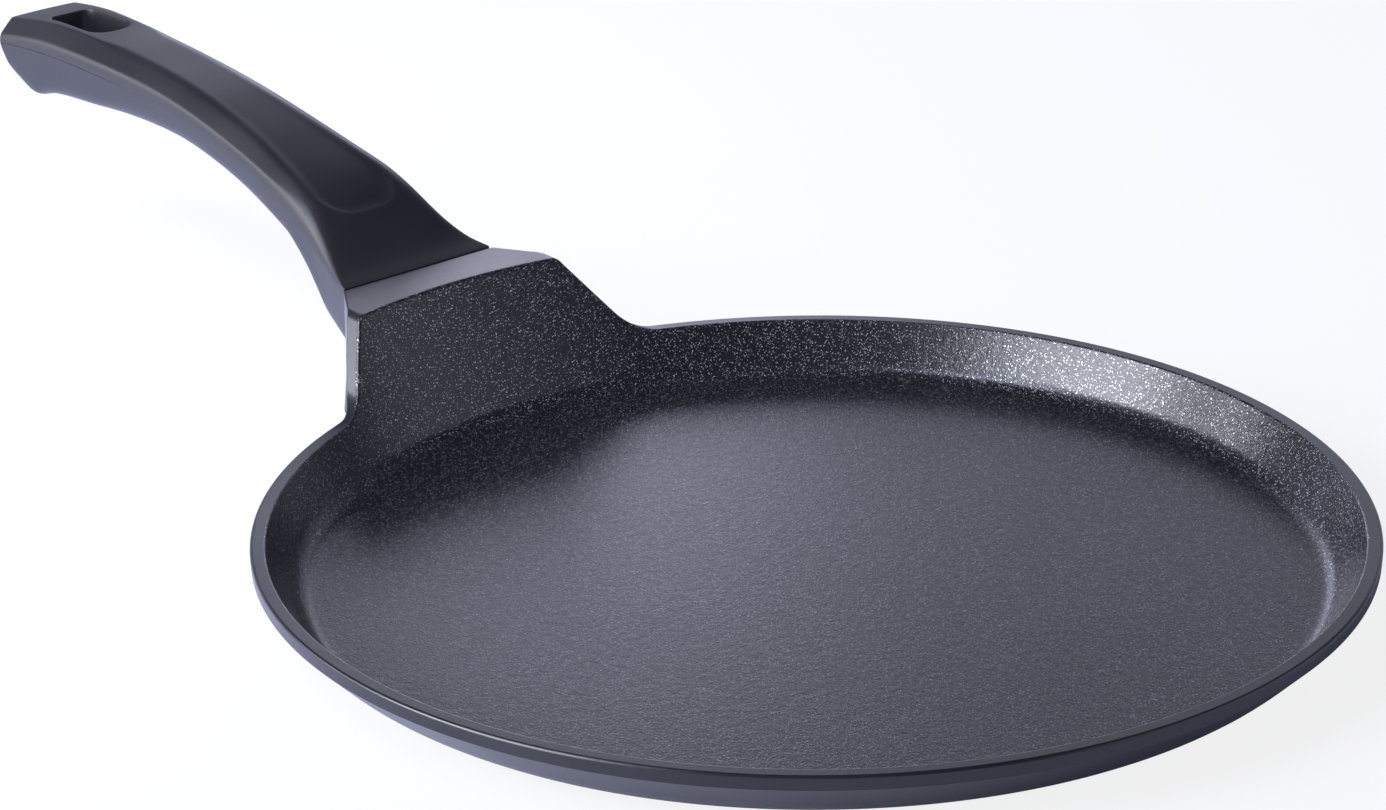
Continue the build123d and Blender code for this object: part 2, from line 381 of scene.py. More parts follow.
class SharedEffects:
    """Node groups that several finishes use, each built once."""

    def __init__(self) -> None:
        """Build the groups."""
        self.grain = self.build_grain()
        self.flakes = self.build_flakes()
        self.turning = self.build_turning()

    def build_grain(self) -> bpy.types.NodeTree:
        """Fine cast or moulded grain: a height, and a slow change of tone.

        Returns:
            The group.
        """
        sheet, given, leave = new_group(
            "surface_grain", {"Vector": "VECTOR", "Fine Scale": 900.0, "Slow Scale": 18.0},
            ("Height", "Tone"))
        place = given["Vector"]
        fine = sheet.noise(Vector=place, Scale=given["Fine Scale"], Detail=2.0)
        broad = sheet.math("MULTIPLY", given["Fine Scale"], 0.27)
        wide = sheet.noise(Vector=place, Scale=broad, Detail=1.0)
        slow = sheet.noise(Vector=place, Scale=given["Slow Scale"], Detail=3.0)
        sheet.lead(leave, Height=sheet.math("ADD", fine, sheet.math("MULTIPLY", wide, 0.8)),
                   Tone=sheet.span(slow, 0.3, 0.7))
        return sheet.tree

    def build_flakes(self) -> bpy.types.NodeTree:
        """Bright mineral flakes in a coating: many fine faint ones and a few clear ones.

        Returns:
            The group.
        """
        sheet, given, leave = new_group(
            "mineral_flakes", {"Vector": "VECTOR", "Flakes Scale": 2600.0, "Share": 0.75},
            ("Mask",))
        masks = []
        for step, chance, size, power in ((1.0, 0.6, 0.42, 2.2), (0.65, 0.5, 0.34, 1.0)):
            scale = sheet.math("MULTIPLY", given["Flakes Scale"], step)
            cells = sheet.add("ShaderNodeTexVoronoi", {"Vector": given["Vector"], "Scale": scale})
            luck = sheet.add("ShaderNodeSeparateColor", {"Color": cells.outputs["Color"]})
            shows = sheet.math("LESS_THAN", luck.outputs["Red"],
                               sheet.math("MULTIPLY", given["Share"], chance))
            dot = sheet.span(cells.outputs["Distance"], size, size * 0.4)
            weight = sheet.math("POWER", luck.outputs["Green"], power)
            masks.append(sheet.math("MULTIPLY", sheet.math("MULTIPLY", dot, shows), weight))
        sheet.lead(leave, Mask=sheet.math("MAXIMUM", *masks))
        return sheet.tree

    def build_turning(self) -> bpy.types.NodeTree:
        """Rings left by a lathe about the Z axis.

        Returns:
            The group.
        """
        sheet, given, leave = new_group(
            "lathe_rings", {"Vector": "VECTOR", "Rings Scale": 900.0}, ("Height", "Tone"))
        place = sheet.math("MULTIPLY", sheet.distance(given["Vector"]), given["Rings Scale"])
        rings = sheet.noise(W=place, Scale=1.0, Detail=2.0)
        slow = sheet.noise(W=sheet.math("MULTIPLY", place, 0.06), Scale=1.0)
        sheet.lead(leave, Height=rings, Tone=sheet.span(slow, 0.3, 0.7))
        return sheet.tree


def new_material(name: str) -> tuple[bpy.types.Material, Sheet, bpy.types.Node,
                                     bpy.types.NodeSocket]:
    """Material with a Principled shader, and the object's coordinates.

    Args:
        name: Name of the finish.

    Returns:
        The material, its sheet, its shader and its Object coordinates.
    """
    material = bpy.data.materials.new(name)
    material.use_nodes = True
    material.node_tree.nodes.clear()
    sheet = Sheet(material.node_tree)
    place = sheet.add("ShaderNodeTexCoord").outputs["Object"]
    shader = sheet.add("ShaderNodeBsdfPrincipled")
    sheet.add("ShaderNodeOutputMaterial", {"Surface": shader.outputs[0]})
    return material, sheet, shader, place


def dress(sheet: Sheet, shader: bpy.types.Node, height: bpy.types.NodeSocket, depth: float,
          **sockets: object) -> None:
    """Join a bump of a depth in millimetres and other values or sockets to a shader.

    Args:
        sheet: Sheet of the material.
        shader: Its Principled shader.
        height: Height of the bump.
        depth: Its depth.
        **sockets: Shader inputs by name, with underscores for spaces.
    """
    bump = sheet.add("ShaderNodeBump", {"Height": height, "Distance": depth * MM,
                                        "Strength": 1.0})
    sheet.lead(shader, Normal=bump.outputs["Normal"])
    for name, value in sockets.items():
        target = shader.inputs[name.replace("_", " ")]
        if isinstance(value, bpy.types.NodeSocket):
            sheet.tree.links.new(value, target)
        else:
            target.default_value = value


@dataclass(frozen=True)
class NonStickCoating:
    """Matt black coating with mineral flakes; smoother on the cooking floor."""

    dark: Colour = (0.0045, 0.005, 0.0075)
    pale: Colour = (0.0065, 0.0075, 0.0108)
    flake: Colour = (0.78, 0.83, 0.88)
    roughness: float = 0.28
    floor_roughness: float = 0.30
    floor_radius: float = 125.0
    floor_blend: float = 4.0
    floor_flakes: float = 0.5
    flake_gloss: float = 0.12
    flake_metal: float = 0.75
    grain_scale: float = 1500.0
    grain_depth: float = 0.07

    def material(self, effects: SharedEffects) -> bpy.types.Material:
        """Build the material."""
        material, sheet, shader, place = new_material("nonstick_coating")
        grain = sheet.effect(effects.grain, place, Fine_Scale=self.grain_scale)
        mask = sheet.effect(effects.flakes, place)["Mask"]
        edge = self.floor_radius * MM
        off_floor = sheet.span(sheet.distance(place), edge, edge + self.floor_blend * MM)
        share = sheet.math("MULTIPLY", mask,
                           sheet.span(off_floor, 0.0, 1.0, self.floor_flakes, 1.0))
        base = sheet.tint(grain["Tone"], self.dark, self.pale)
        rough = sheet.math("ADD", sheet.span(off_floor, 0.0, 1.0, self.floor_roughness,
                                             self.roughness),
                           sheet.math("MULTIPLY", share, -self.flake_gloss))
        dress(sheet, shader, grain["Height"], self.grain_depth,
              Base_Color=sheet.tint(share, base, self.flake), Roughness=rough,
              Metallic=sheet.math("MULTIPLY", share, self.flake_metal), IOR=1.5)
        return material


@dataclass(frozen=True)
class GrainedFinish:
    """Finish with a fine grain, whose tone and roughness drift slowly over the surface."""

    name: str
    dark: Colour
    pale: Colour
    roughness: float
    smoother: float
    rougher: float
    grain_depth: float
    grain_scale: float
    drift_scale: float = 18.0
    metal: float = 0.0
    ior: float = 1.5

    def material(self, effects: SharedEffects) -> bpy.types.Material:
        """Build the material."""
        material, sheet, shader, place = new_material(self.name)
        grain = sheet.effect(effects.grain, place, Fine_Scale=self.grain_scale,
                             Slow_Scale=self.drift_scale)
        rough = sheet.span(grain["Tone"], 0.0, 1.0, self.roughness - self.smoother,
                           self.roughness + self.rougher)
        dress(sheet, shader, grain["Height"], self.grain_depth,
              Base_Color=sheet.tint(grain["Tone"], self.dark, self.pale), Roughness=rough,
              Metallic=self.metal, IOR=self.ior)
        return material


@dataclass(frozen=True)
class SatinEnamel(GrainedFinish):
    """Satin grey-black skin on the rim's land, the guard's edges and the outside."""

    dark: Colour = (0.006, 0.0063, 0.009)
    pale: Colour = (0.0095, 0.010, 0.0135)
    roughness: float = 0.30
    smoother: float = 0.02
    rougher: float = 0.03
    grain_depth: float = 0.02
    grain_scale: float = 1100.0
    ior: float = 1.55


@dataclass(frozen=True)
class Phenolic(GrainedFinish):
    """Satin black moulding resin."""

    name: str = "phenolic"
    dark: Colour = (0.0045, 0.0045, 0.0065)
    pale: Colour = (0.0065, 0.0065, 0.0088)
    roughness: float = 0.42
    smoother: float = 0.03
    rougher: float = 0.03
    grain_depth: float = 0.012
    grain_scale: float = 1300.0
    drift_scale: float = 26.0


@dataclass(frozen=True)
class PlainSteel(GrainedFinish):
    """Zinc-grey steel of the screw and its washers."""

    name: str = "plain_steel"
    dark: Colour = (0.42, 0.43, 0.44)
    pale: Colour = (0.56, 0.56, 0.55)
    roughness: float = 0.33
    smoother: float = 0.0
    rougher: float = 0.15
    grain_depth: float = 0.004
    grain_scale: float = 900.0
    drift_scale: float = 320.0
    metal: float = 1.0


@dataclass(frozen=True)
class TurnedMetal:
    """Bare metal with the rings that a lathe leaves."""

    name: str
    dark: Colour
    pale: Colour
    roughness: float
    smoother: float = 0.05
    rougher: float = 0.08
    rings_scale: float = 1300.0
    ring_depth: float = 0.012

    def material(self, effects: SharedEffects) -> bpy.types.Material:
        """Build the material."""
        material, sheet, shader, place = new_material(self.name)
        rings = sheet.effect(effects.turning, place, Rings_Scale=self.rings_scale)
        rough = sheet.span(rings["Height"], 0.25, 0.75, self.roughness - self.smoother,
                           self.roughness + self.rougher)
        dress(sheet, shader, rings["Height"], self.ring_depth,
              Base_Color=sheet.tint(rings["Tone"], self.dark, self.pale),
              Roughness=rough, Metallic=1.0)
        return material


# The casting

SKIRT_LEAN = 45.0


class Region(Enum):
    """Parts of the casting's surface, by material slot."""

    COOKING = 0
    LAND = 1
    OUTSIDE = 2
    FOOT = 3


@dataclass
class PanBody:
    """Cast disc with its wall, rim, flame guard and lug, and the tongue inside the grip."""

    rim_radius: float = 140.0
    pan_height: float = 18.5
    rim_width: float = 3.9
    rim_rounding: float = 0.7
    cook_depth: float = 13.1
    wall_lean: float = 31.3
    floor_fillet: float = 6.0
    band_height: float = 3.6
    band_draft: float = 0.2
    skirt_rounding: float = 22.0
    foot_height: float = 1.0
    foot_step: float = 6.8
    foot_chamfer: float = 0.4
    guard_rise: float = 20.6
    guard_thickness: float = 5.2
    guard_half_width: float = 33.4
    guard_side_lean: float = 34.0
    guard_corner: float = 3.0
    guard_foot_fillet: float = 12.0
    guard_rounding: float = 0.95
    seat_rounding: float = 0.45
    seat_reach: float = 23.6
    seat_half_width: float = 25.2
    seat_height: float = 19.3
    seat_band: float = 1.8
    lug_root_run: float = 1.0
    lug_root_half_width: float = 39.0
    lug_root_flare: float = 3.5
    lug_widest_angle: float = 40.0
    lug_side_softness: float = 3.0
    lug_under_softness: float = 1.4
    lug_softness: float = 0.9
    body_softness: float = 1.6
    tongue_drop: float = 7.1
    tongue_slope: float = 15.0
    tongue_length: float = 24.0
    tongue_width: float = 24.0
    tongue_thickness: float = 7.0
    tongue_rounding: float = 1.5
    screw_along: float = 10.8
    screw_radius: float = 2.5
    plate_radius: float = 95.987
    plate_thickness: float = 0.8
    plate_groove: float = 0.15
    screw_fit: float = 0.05

    ring_steps: int = 132
    front_steps: int = 5
    back_steps: int = 4
    fillet_steps: int = 10
    skirt_steps: int = 9
    floor_shares: tuple = (0.05, 0.15, 0.3, 0.45, 0.6, 0.72, 0.82, 0.9, 0.95, 0.98)
    wall_shares: tuple = (0.06, 0.16, 0.3, 0.45, 0.6, 0.74, 0.85, 0.93, 0.975)
    land_shares: tuple = (0.05, 0.14, 0.32, 0.5, 0.68, 0.86, 0.95)
    skirt_levels: tuple = (14.75, 14.5, 14.1, 13.6, 13.0, 12.2, 11.0, 9.6, 8.4)

    def __post_init__(self) -> None:
        """Work out the levels and radii that follow from the sizes."""
        self.wall_slope = math.tan(math.radians(self.wall_lean))
        self.rim_inner = self.rim_radius - self.rim_width
        self.floor_top = self.pan_height - self.cook_depth
        self.guard_top = self.pan_height + self.guard_rise
        self.band_foot = self.pan_height - self.band_height
        self.skirt_top = self.rim_radius - self.band_draft
        self.seat_x = self.rim_radius + self.seat_reach
        self.lug_root_x = self.rim_radius + self.lug_root_run
        self.seat_bottom = self.guard_top - self.seat_height
        turn = math.radians(SKIRT_LEAN)
        skirt_foot = self.skirt_top - (self.band_foot - self.foot_height)
        self.skirt_centre = skirt_foot - self.skirt_rounding * math.tan(turn / 2)
        self.skirt_start = self.foot_height + self.skirt_rounding * (1 - math.cos(turn))
        self.foot_radius = self.skirt_centre - self.foot_step

    def wall_radius(self, height: Points) -> Points:
        """Radius of the inside wall, or of the guard's front, at a height."""
        return self.rim_inner + self.wall_slope * (height - self.pan_height)

    def skirt_radius(self, height: Points) -> Points:
        """Radius of the skirt under the band at a height."""
        lean = self.skirt_top - (self.band_foot - height)
        drop = self.foot_height + self.skirt_rounding - height
        arc = self.skirt_centre + np.sqrt(np.maximum(self.skirt_rounding ** 2 - drop ** 2, 0))
        return np.where(height > self.skirt_start, lean, arc)

    def outer_radius(self, angle: Points, height: Points) -> Points:
        """Distance of the outside from the pan's axis, the guard's back and the lug included.

        Args:
            angle: Angle about the axis from the handle's direction, in radians.
            height: Height above the resting plane.

        Returns:
            The radius.
        """
        across, along = np.abs(np.sin(angle)) + 1e-9, np.cos(angle)
        rise = np.clip((height - self.band_foot) / (self.guard_top - self.band_foot), 0, 1)
        root = self.lug_root_half_width + self.lug_root_flare * (1 - rise)
        run = self.seat_x - self.lug_root_x
        taper = run / (root - self.seat_half_width)
        side = (self.lug_root_x + root * taper) / (along + taper * across)
        seat = self.seat_x / along
        under = (self.lug_root_x + run * (height - self.band_foot)
                 / (self.seat_bottom - self.band_foot)) / along
        lug = soft_min(soft_min(side, root / across, self.lug_side_softness),
                       soft_min(seat, under, self.lug_under_softness), self.lug_softness)
        lug = np.where(along > 0.5, lug, 0.0)
        thick = self.rim_width + (self.guard_thickness - self.rim_width) * smooth_step(
            height, self.pan_height, self.pan_height + self.band_height)
        back = self.wall_radius(height) + thick
        band = self.rim_radius - self.band_draft * (self.pan_height - height) / self.band_height
        body = np.where(height > self.pan_height, back,
                        np.where(height > self.band_foot, band, self.skirt_radius(height)))
        return soft_max(lug, body, self.body_softness)

    def guard_line(self) -> Points:
        """Half of the rim's upper line seen from the front, from the handle's centre plane.

        Returns:
            Points (Y, Z) along the guard's top, corner, side and foot.
        """
        turn = math.radians(90 - self.guard_side_lean)
        lean = math.radians(self.guard_side_lean)
        foot = self.guard_half_width + self.guard_rise * math.tan(lean)
        corner_y = self.guard_half_width - self.guard_corner * math.tan(turn / 2)
        fillet_y = foot + self.guard_foot_fillet * math.tan(turn / 2)
        seat = self.seat_half_width
        near, step = self.seat_band, self.seat_band / 3
        top = np.concatenate([np.linspace(0, seat - near - step, 8),
                              np.linspace(seat - near, seat + near, 10),
                              np.linspace(seat + near + 1.0, corner_y, 4)[:-1]])
        arc = np.linspace(math.pi / 2, lean, 8)
        corner = np.stack([corner_y + self.guard_corner * np.cos(arc),
                           self.guard_top - self.guard_corner * (1 - np.sin(arc))], axis=1)
        arc = np.linspace(math.pi + lean, 1.5 * math.pi, 13)
        fillet = np.stack([fillet_y + self.guard_foot_fillet * np.cos(arc),
                           self.pan_height + self.guard_foot_fillet * (1 + np.sin(arc))], axis=1)
        side = [corner[-1] + (fillet[0] - corner[-1]) * t for t in np.linspace(0, 1, 12)[1:-1]]
        top = np.stack([top, np.full(len(top), self.guard_top)], axis=1)
        return np.concatenate([top, corner, side, fillet])

    def edge_lines(self) -> tuple[Points, Points]:
        """Inner and outer sharp line of the rim's land, guard and lug included, all round.

        Returns:
            Two closed lines of matching points.
        """
        line = self.guard_line()
        y, z = line[:, 0], line[:, 1]
        inner = np.stack([np.sqrt(self.wall_radius(z) ** 2 - y ** 2), y, z], axis=1)
        radial = smooth_step(-z, -self.pan_height - 6.0, -self.pan_height)
        out_y = y * (1 + radial * (self.rim_radius / self.rim_inner - 1))
        out_z = np.interp(out_y, y, z)
        low, high = np.zeros_like(y), np.full_like(y, math.radians(self.lug_widest_angle))
        for _ in range(SEARCH_STEPS):
            middle = (low + high) / 2
            short = self.outer_radius(middle, out_z) * np.sin(middle) < out_y
            low, high = np.where(short, middle, low), np.where(short, high, middle)
        radius = self.outer_radius(low, out_z)
        outer = np.stack([radius * np.cos(low), radius * np.sin(low), out_z], axis=1)
        start = math.atan2(inner[-1, 1], inner[-1, 0])
        angle = np.linspace(start, math.pi, self.ring_steps)[1:]
        flat = np.full_like(angle, self.pan_height)
        ring = [np.stack([r * np.cos(angle), r * np.sin(angle), flat], axis=1)
                for r in (self.rim_inner, self.rim_radius)]
        halves = [np.concatenate([inner, ring[0]]), np.concatenate([outer, ring[1]])]
        return tuple(mirrored(half) for half in halves)

    def rows(self) -> list[tuple[Points, Region]]:
        """Rows of points from the middle of the floor over the rim to the base.

        Returns:
            Each row with the region of the faces that follow it.
        """
        inner, outer = self.edge_lines()
        high = smooth_step(inner[:, 2], self.pan_height, self.pan_height + 4)
        radius = self.rim_rounding + (self.guard_rounding - self.rim_rounding) * high
        angle = np.arctan2(inner[:, 1], inner[:, 0])
        out = np.stack([np.cos(angle), np.sin(angle), np.zeros_like(angle)], axis=1)
        down = unit(-out * self.wall_slope - np.array([0, 0, 1.0]))
        front = rounded_edge(inner, down, outer - inner, radius, self.front_steps)
        out_angle = np.arctan2(outer[:, 1], outer[:, 0])
        below = outer[:, 2] - 0.2
        reach = self.outer_radius(out_angle, below)
        fall = np.stack([reach * np.cos(out_angle), reach * np.sin(out_angle), below],
                        axis=1) - outer
        radius = self.rim_rounding + (self.seat_rounding - self.rim_rounding) * high
        back = rounded_edge(outer, inner - outer, fall, radius, self.back_steps)

        angle = np.arctan2(front[0][:, 1], front[0][:, 0])
        rows = []

        def ring(radius: Points, height: Points, turn: Points, region: Region) -> None:
            """Add a row from its radius, height and angle."""
            radius, height = np.broadcast_arrays(radius, height, turn)[:2]
            rows.append((np.stack([radius * np.cos(turn), radius * np.sin(turn), height],
                                  axis=1), region))

        floor_turn = math.radians(90 - self.wall_lean)
        edge = self.wall_radius(self.floor_top) - self.floor_fillet * math.tan(floor_turn / 2)
        for share in self.floor_shares:
            ring(edge * share, self.floor_top, angle, Region.COOKING)
        for turn in np.linspace(0, floor_turn, self.fillet_steps + 1):
            ring(edge + self.floor_fillet * math.sin(turn),
                 self.floor_top + self.floor_fillet * (1 - math.cos(turn)), angle,
                 Region.COOKING)
        wall_foot = self.floor_top + self.floor_fillet * (1 - math.cos(floor_turn))
        for share in self.wall_shares:
            height = wall_foot + share * (front[0][:, 2] - wall_foot)
            ring(self.wall_radius(height), height, angle, Region.COOKING)
        rows += [(row, Region.COOKING) for row in front[:-1]]
        rows.append((front[-1], Region.LAND))
        for share in self.land_shares:
            rows.append((front[-1] + share * (back[0] - front[-1]), Region.LAND))
        rows += [(row, Region.LAND) for row in back[:2]]
        rows += [(row, Region.OUTSIDE) for row in back[2:]]
        turn = np.arctan2(back[-1][:, 1], back[-1][:, 0])
        top = back[-1][:, 2]
        shares = np.concatenate([np.linspace(0, 0.70, 10)[1:], np.linspace(0.72, 0.86, 10),
                                 np.linspace(0.88, 1.0, 7)])
        for share in shares:
            height = top + share * (self.band_foot - top)
            ring(self.outer_radius(turn, height), height, turn, Region.OUTSIDE)
        for height in self.skirt_levels:
            level = np.full_like(turn, height)
            ring(self.outer_radius(turn, level), level, turn, Region.OUTSIDE)
        for lean in np.linspace(SKIRT_LEAN, 0, self.skirt_steps + 1):
            a = math.radians(lean)
            ring(self.skirt_centre + self.skirt_rounding * math.sin(a),
                 self.foot_height + self.skirt_rounding * (1 - math.cos(a)), turn,
                 Region.OUTSIDE)
        edge = self.foot_radius
        ring(edge + 0.5, self.foot_height, turn, Region.OUTSIDE)
        ring(edge, self.foot_height - 0.15, turn, Region.FOOT)
        ring(edge, self.foot_chamfer, turn, Region.FOOT)
        for radius, height in ((edge - self.foot_chamfer, 0.0), (edge - 1.2, 0.0),
                               (self.plate_radius + 1.0, 0.0),
                               (self.plate_radius + 2 * self.plate_groove, 0.0),
                               (self.plate_radius + self.plate_groove, self.plate_groove),
                               (self.plate_radius + self.plate_groove, self.plate_thickness),
                               (self.plate_radius * 0.5, self.plate_thickness)):
            ring(radius, height, turn, Region.FOOT)
        return rows

    def tongue_place(self, along: float, lift: float) -> Matrix:
        """Place on the tongue's centre line, turned with it, in millimetres."""
        turn = Matrix.Rotation(-math.radians(self.tongue_slope), 4, "Y")
        start = Matrix.Translation((self.seat_x, 0, self.guard_top - self.tongue_drop))
        return start @ turn @ Matrix.Translation((along, 0, lift))

    def build(self) -> bpy.types.Object:
        """Make the casting's mesh.

        Returns:
            The piece.
        """
        rows = self.rows()
        count = len(rows[0][0])
        points = np.concatenate([row for row, _ in rows]
                                + [[[0, 0, self.floor_top], [0, 0, self.plate_thickness]]])
        faces, slots = [], []
        for i in range(len(rows) - 1):
            for j in range(count):
                k = (j + 1) % count
                faces.append((i * count + j, (i + 1) * count + j, (i + 1) * count + k,
                              i * count + k))
                slots.append(rows[i][1].value)
        last = (len(rows) - 1) * count
        for j in range(count):
            k = (j + 1) % count
            faces += [(len(points) - 2, j, k), (len(points) - 1, last + k, last + j)]
            slots += [Region.COOKING.value, Region.FOOT.value]
        body = mesh_object("pan_casting", points, faces, slots)
        root = self.tongue_width / 2
        tongue = block("tongue", (self.tongue_length + root, self.tongue_width,
                                  self.tongue_thickness),
                       self.tongue_place((self.tongue_length - root) / 2, 0),
                       self.tongue_rounding)
        hole = rod("tongue_hole", self.screw_radius + self.screw_fit, 4 * self.tongue_thickness,
                   self.tongue_place(self.screw_along, -2 * self.tongue_thickness))
        carve(tongue, [hole])
        tongue.data.polygons.foreach_set("material_index",
                                         [Region.OUTSIDE.value] * len(tongue.data.polygons))
        self.body, self.tongue = body, tongue
        return body

    def dress(self, coating: bpy.types.Material, land: bpy.types.Material,
              outside: bpy.types.Material, foot: bpy.types.Material) -> None:
        """Give each region its finish and join the tongue.

        Args:
            coating: Finish of the cooking side.
            land: Finish of the rim's land and the guard's edges.
            outside: Finish of the outside.
            foot: Finish of the foot.
        """
        for piece in (self.body, self.tongue):
            for material in (coating, land, outside, foot):
                piece.data.materials.append(material)
        join(self.body, [self.tongue])
        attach(self.body, "root")
        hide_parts("pan_body")


# The grip

@dataclass
class HandleGrip:
    """Moulded grip: dished top with a rounded end, bevelled edges, hanging slot and socket."""

    pan: PanBody
    gap: float = 0.3
    length: float = 187.7
    half_width: float = 24.9
    rise: float = 34.0
    corner: float = 6.0
    tail_corner: float = 5.6
    side_draft: float = 3.4
    side_flat: float = 1.4
    bevel_width: float = 5.0
    bevel_height: float = 4.8
    ridge_softness: float = 2.0
    tail_ridge_softness: float = 0.5
    dish_depth: float = 0.8
    dish_start: float = 185.0
    dish_corner: float = 7.5
    dish_half_width: float = 12.9
    dish_scoop: float = 3.6
    dish_rows: float = 0.5
    tail_height: float = 29.0
    tail_lean: float = 31.3
    tail_plan_radius: float = 45.0
    tail_nose: float = 4.0
    heel_radius: float = 16.5
    heel_height: float = 10.0
    heel_seam: float = 45.0
    slot_length: float = 26.6
    slot_width: float = 14.6
    slot_end: float = 15.5
    slot_front_corner: float = 6.0
    slot_back_corner: float = 3.4
    slot_margin: float = 3.5
    slot_rounding: float = 0.3
    slot_steps: int = 20
    heel_softness: float = 0.8
    nose_softness: float = 1.6
    end_softness: float = 1.2
    corner_fade: tuple = (22.0, 4.0)
    parting_depth: float = 0.12
    parting_half_width: float = 0.08
    parting_offset: float = 0.07
    parting_margin: float = 0.6
    parting_fade: tuple = (0.56, 0.72)
    end_rounding: float = 0.6
    front_rounding: float = 0.35
    screw_clearance: float = 0.4
    clamped_wall: float = 3.0
    washer_radius: float = 5.0
    socket_clearance: float = 0.3
    socket_tip_gap: float = 1.0
    crown_steps: int = 12
    ridge_steps: int = 4
    bevel_steps: int = 9
    corner_steps: int = 6
    station_step: float = 1.9
    station_start: float = 4.2
    front_stations: tuple = (0.8, 1.5, 2.6)
    side_shares: tuple = (0.2, 0.5, 0.8, 1.0)
    tail_shares: tuple = (0.12, 0.3, 0.5, 0.68, 0.82, 0.92, 1.0)
    slot_wall_shares: tuple = (0.1, 0.5, 0.9)
    crease: float = 38.0

    half_width_shares: tuple = (
        (0.00, 1.00), (0.035, 0.935), (0.075, 0.863), (0.12, 0.800), (0.20, 0.735),
        (0.35, 0.640), (0.56, 0.592), (0.78, 0.626), (1.02, 0.698))
    edge_height_shares: tuple = (
        (0.00, 0.000), (0.035, 0.038), (0.075, 0.117), (0.12, 0.225), (0.16, 0.308),
        (0.25, 0.437), (0.35, 0.568), (0.46, 0.688), (0.57, 0.765), (0.70, 0.806),
        (0.82, 0.818), (0.92, 0.800), (1.02, 0.735))
    underside_shares: tuple = (
        (0.00, -0.568), (0.045, -0.495), (0.086, -0.415), (0.11, -0.303), (0.14, -0.140),
        (0.192, 0.072), (0.256, 0.216), (0.33, 0.330), (0.43, 0.422), (0.54, 0.461),
        (0.65, 0.455), (0.75, 0.419), (0.86, 0.372), (0.93, 0.265), (1.02, 0.180))
    bevel_width_shares: tuple = (
        (0.00, 0.06), (0.045, 0.48), (0.088, 0.76), (0.14, 0.94), (0.20, 1.02), (0.30, 1.12),
        (0.43, 1.18), (0.56, 1.22), (0.75, 1.27), (0.85, 1.27), (1.02, 1.20))
    bevel_height_shares: tuple = (
        (0.00, 0.05), (0.045, 0.25), (0.088, 0.58), (0.14, 1.05), (0.20, 1.34), (0.30, 1.41),
        (0.43, 1.32), (0.56, 1.25), (0.86, 1.21), (0.93, 1.10), (1.02, 0.98))
    bevel_slopes: tuple = (
        (0.00, 10.0), (0.10, 18.0), (0.20, 32.0), (0.28, 36.0), (0.60, 35.0), (1.02, 36.0))
    bevel_flats: tuple = (
        (0.00, 0.10), (0.12, 0.25), (0.20, 0.62), (0.30, 0.78), (0.45, 0.80), (1.02, 0.74))
    side_drops: tuple = (
        (0.00, 2.0), (0.15, 2.3), (0.35, 1.9), (0.60, 1.6), (1.02, 1.55))
    crown_shares: tuple = (
        (0.00, 0.04), (0.045, 0.26), (0.12, 0.50), (0.20, 0.22), (0.30, 0.0), (1.02, 0.0))
    dish_shares: tuple = (
        (0.00, 1.00), (0.14, 1.00), (0.24, 0.60), (0.40, 0.15), (0.55, 0.0), (1.02, 0.0))

    def __post_init__(self) -> None:
        """Work out the places that follow from the sizes."""
        self.base = self.pan.guard_top
        self.front = self.pan.seat_x + self.gap
        self.end = self.front + self.length
        self.heel_z = self.base + self.heel_height
        self.nose_z = self.base + self.tail_height
        self.lean = math.tan(math.radians(self.tail_lean))
        self.heel_x = self.end - (self.nose_z - self.heel_z) * self.lean
        turn = math.radians(90 - self.tail_lean)
        self.arc_x = self.heel_x - self.heel_radius * math.tan(turn / 2)
        self.arc_top = self.heel_z + self.heel_radius * (1 - math.cos(turn))
        seam = math.radians(self.heel_seam)
        self.seam_x = self.arc_x + self.heel_radius * math.sin(seam)
        self.slot_back = self.end - self.slot_end
        self.slot_front = self.slot_back - self.slot_length
        self.warp_x = self.slot_back + self.slot_margin

    def place(self, x: Points) -> Points:
        """Share of the grip's length at an X."""
        return (np.asarray(x, float) - self.front) / self.length

    def half(self, x: Points) -> Points:
        """Half the grip's width at its side edge."""
        return smooth_value(self.half_width_shares, self.place(x)) * self.half_width

    def edge_z(self, x: Points) -> Points:
        """Height of the side edge."""
        return self.base + smooth_value(self.edge_height_shares, self.place(x)) * self.rise

    def ridge(self, x: Points) -> tuple[Points, Points]:
        """Half width and height of the ridge between the top and the bevel."""
        place = self.place(x)
        width = smooth_value(self.bevel_width_shares, place) * self.bevel_width
        height = smooth_value(self.bevel_height_shares, place) * self.bevel_height
        return self.half(x) - width, self.edge_z(x) + height

    def top_z(self, x: Points, y: Points) -> Points:
        """Height of the top between the ridges: domed near the lug, dished further on.

        Args:
            x: Place along the grip.
            y: Place across it.

        Returns:
            The height.
        """
        ridge, ridge_z = self.ridge(x)
        place = self.place(x)
        bow = np.clip(1 - (y / ridge) ** 2, 0, 1)
        wide = np.minimum(self.dish_half_width, ridge - 0.6)
        ahead = x - self.dish_start - y * y / (8 * self.dish_half_width)
        short = np.maximum(self.dish_corner - ahead, 0)
        near = np.maximum(self.dish_corner - (wide - np.abs(y)), 0)
        inside = np.clip(self.dish_corner - np.hypot(short, near), 0, self.dish_scoop)
        scoop = inside / self.dish_scoop
        dish = smooth_value(self.dish_shares, place) * scoop * (2 - scoop)
        crown = smooth_value(self.crown_shares, place) * bow
        return ridge_z + self.dish_depth * (crown - dish)

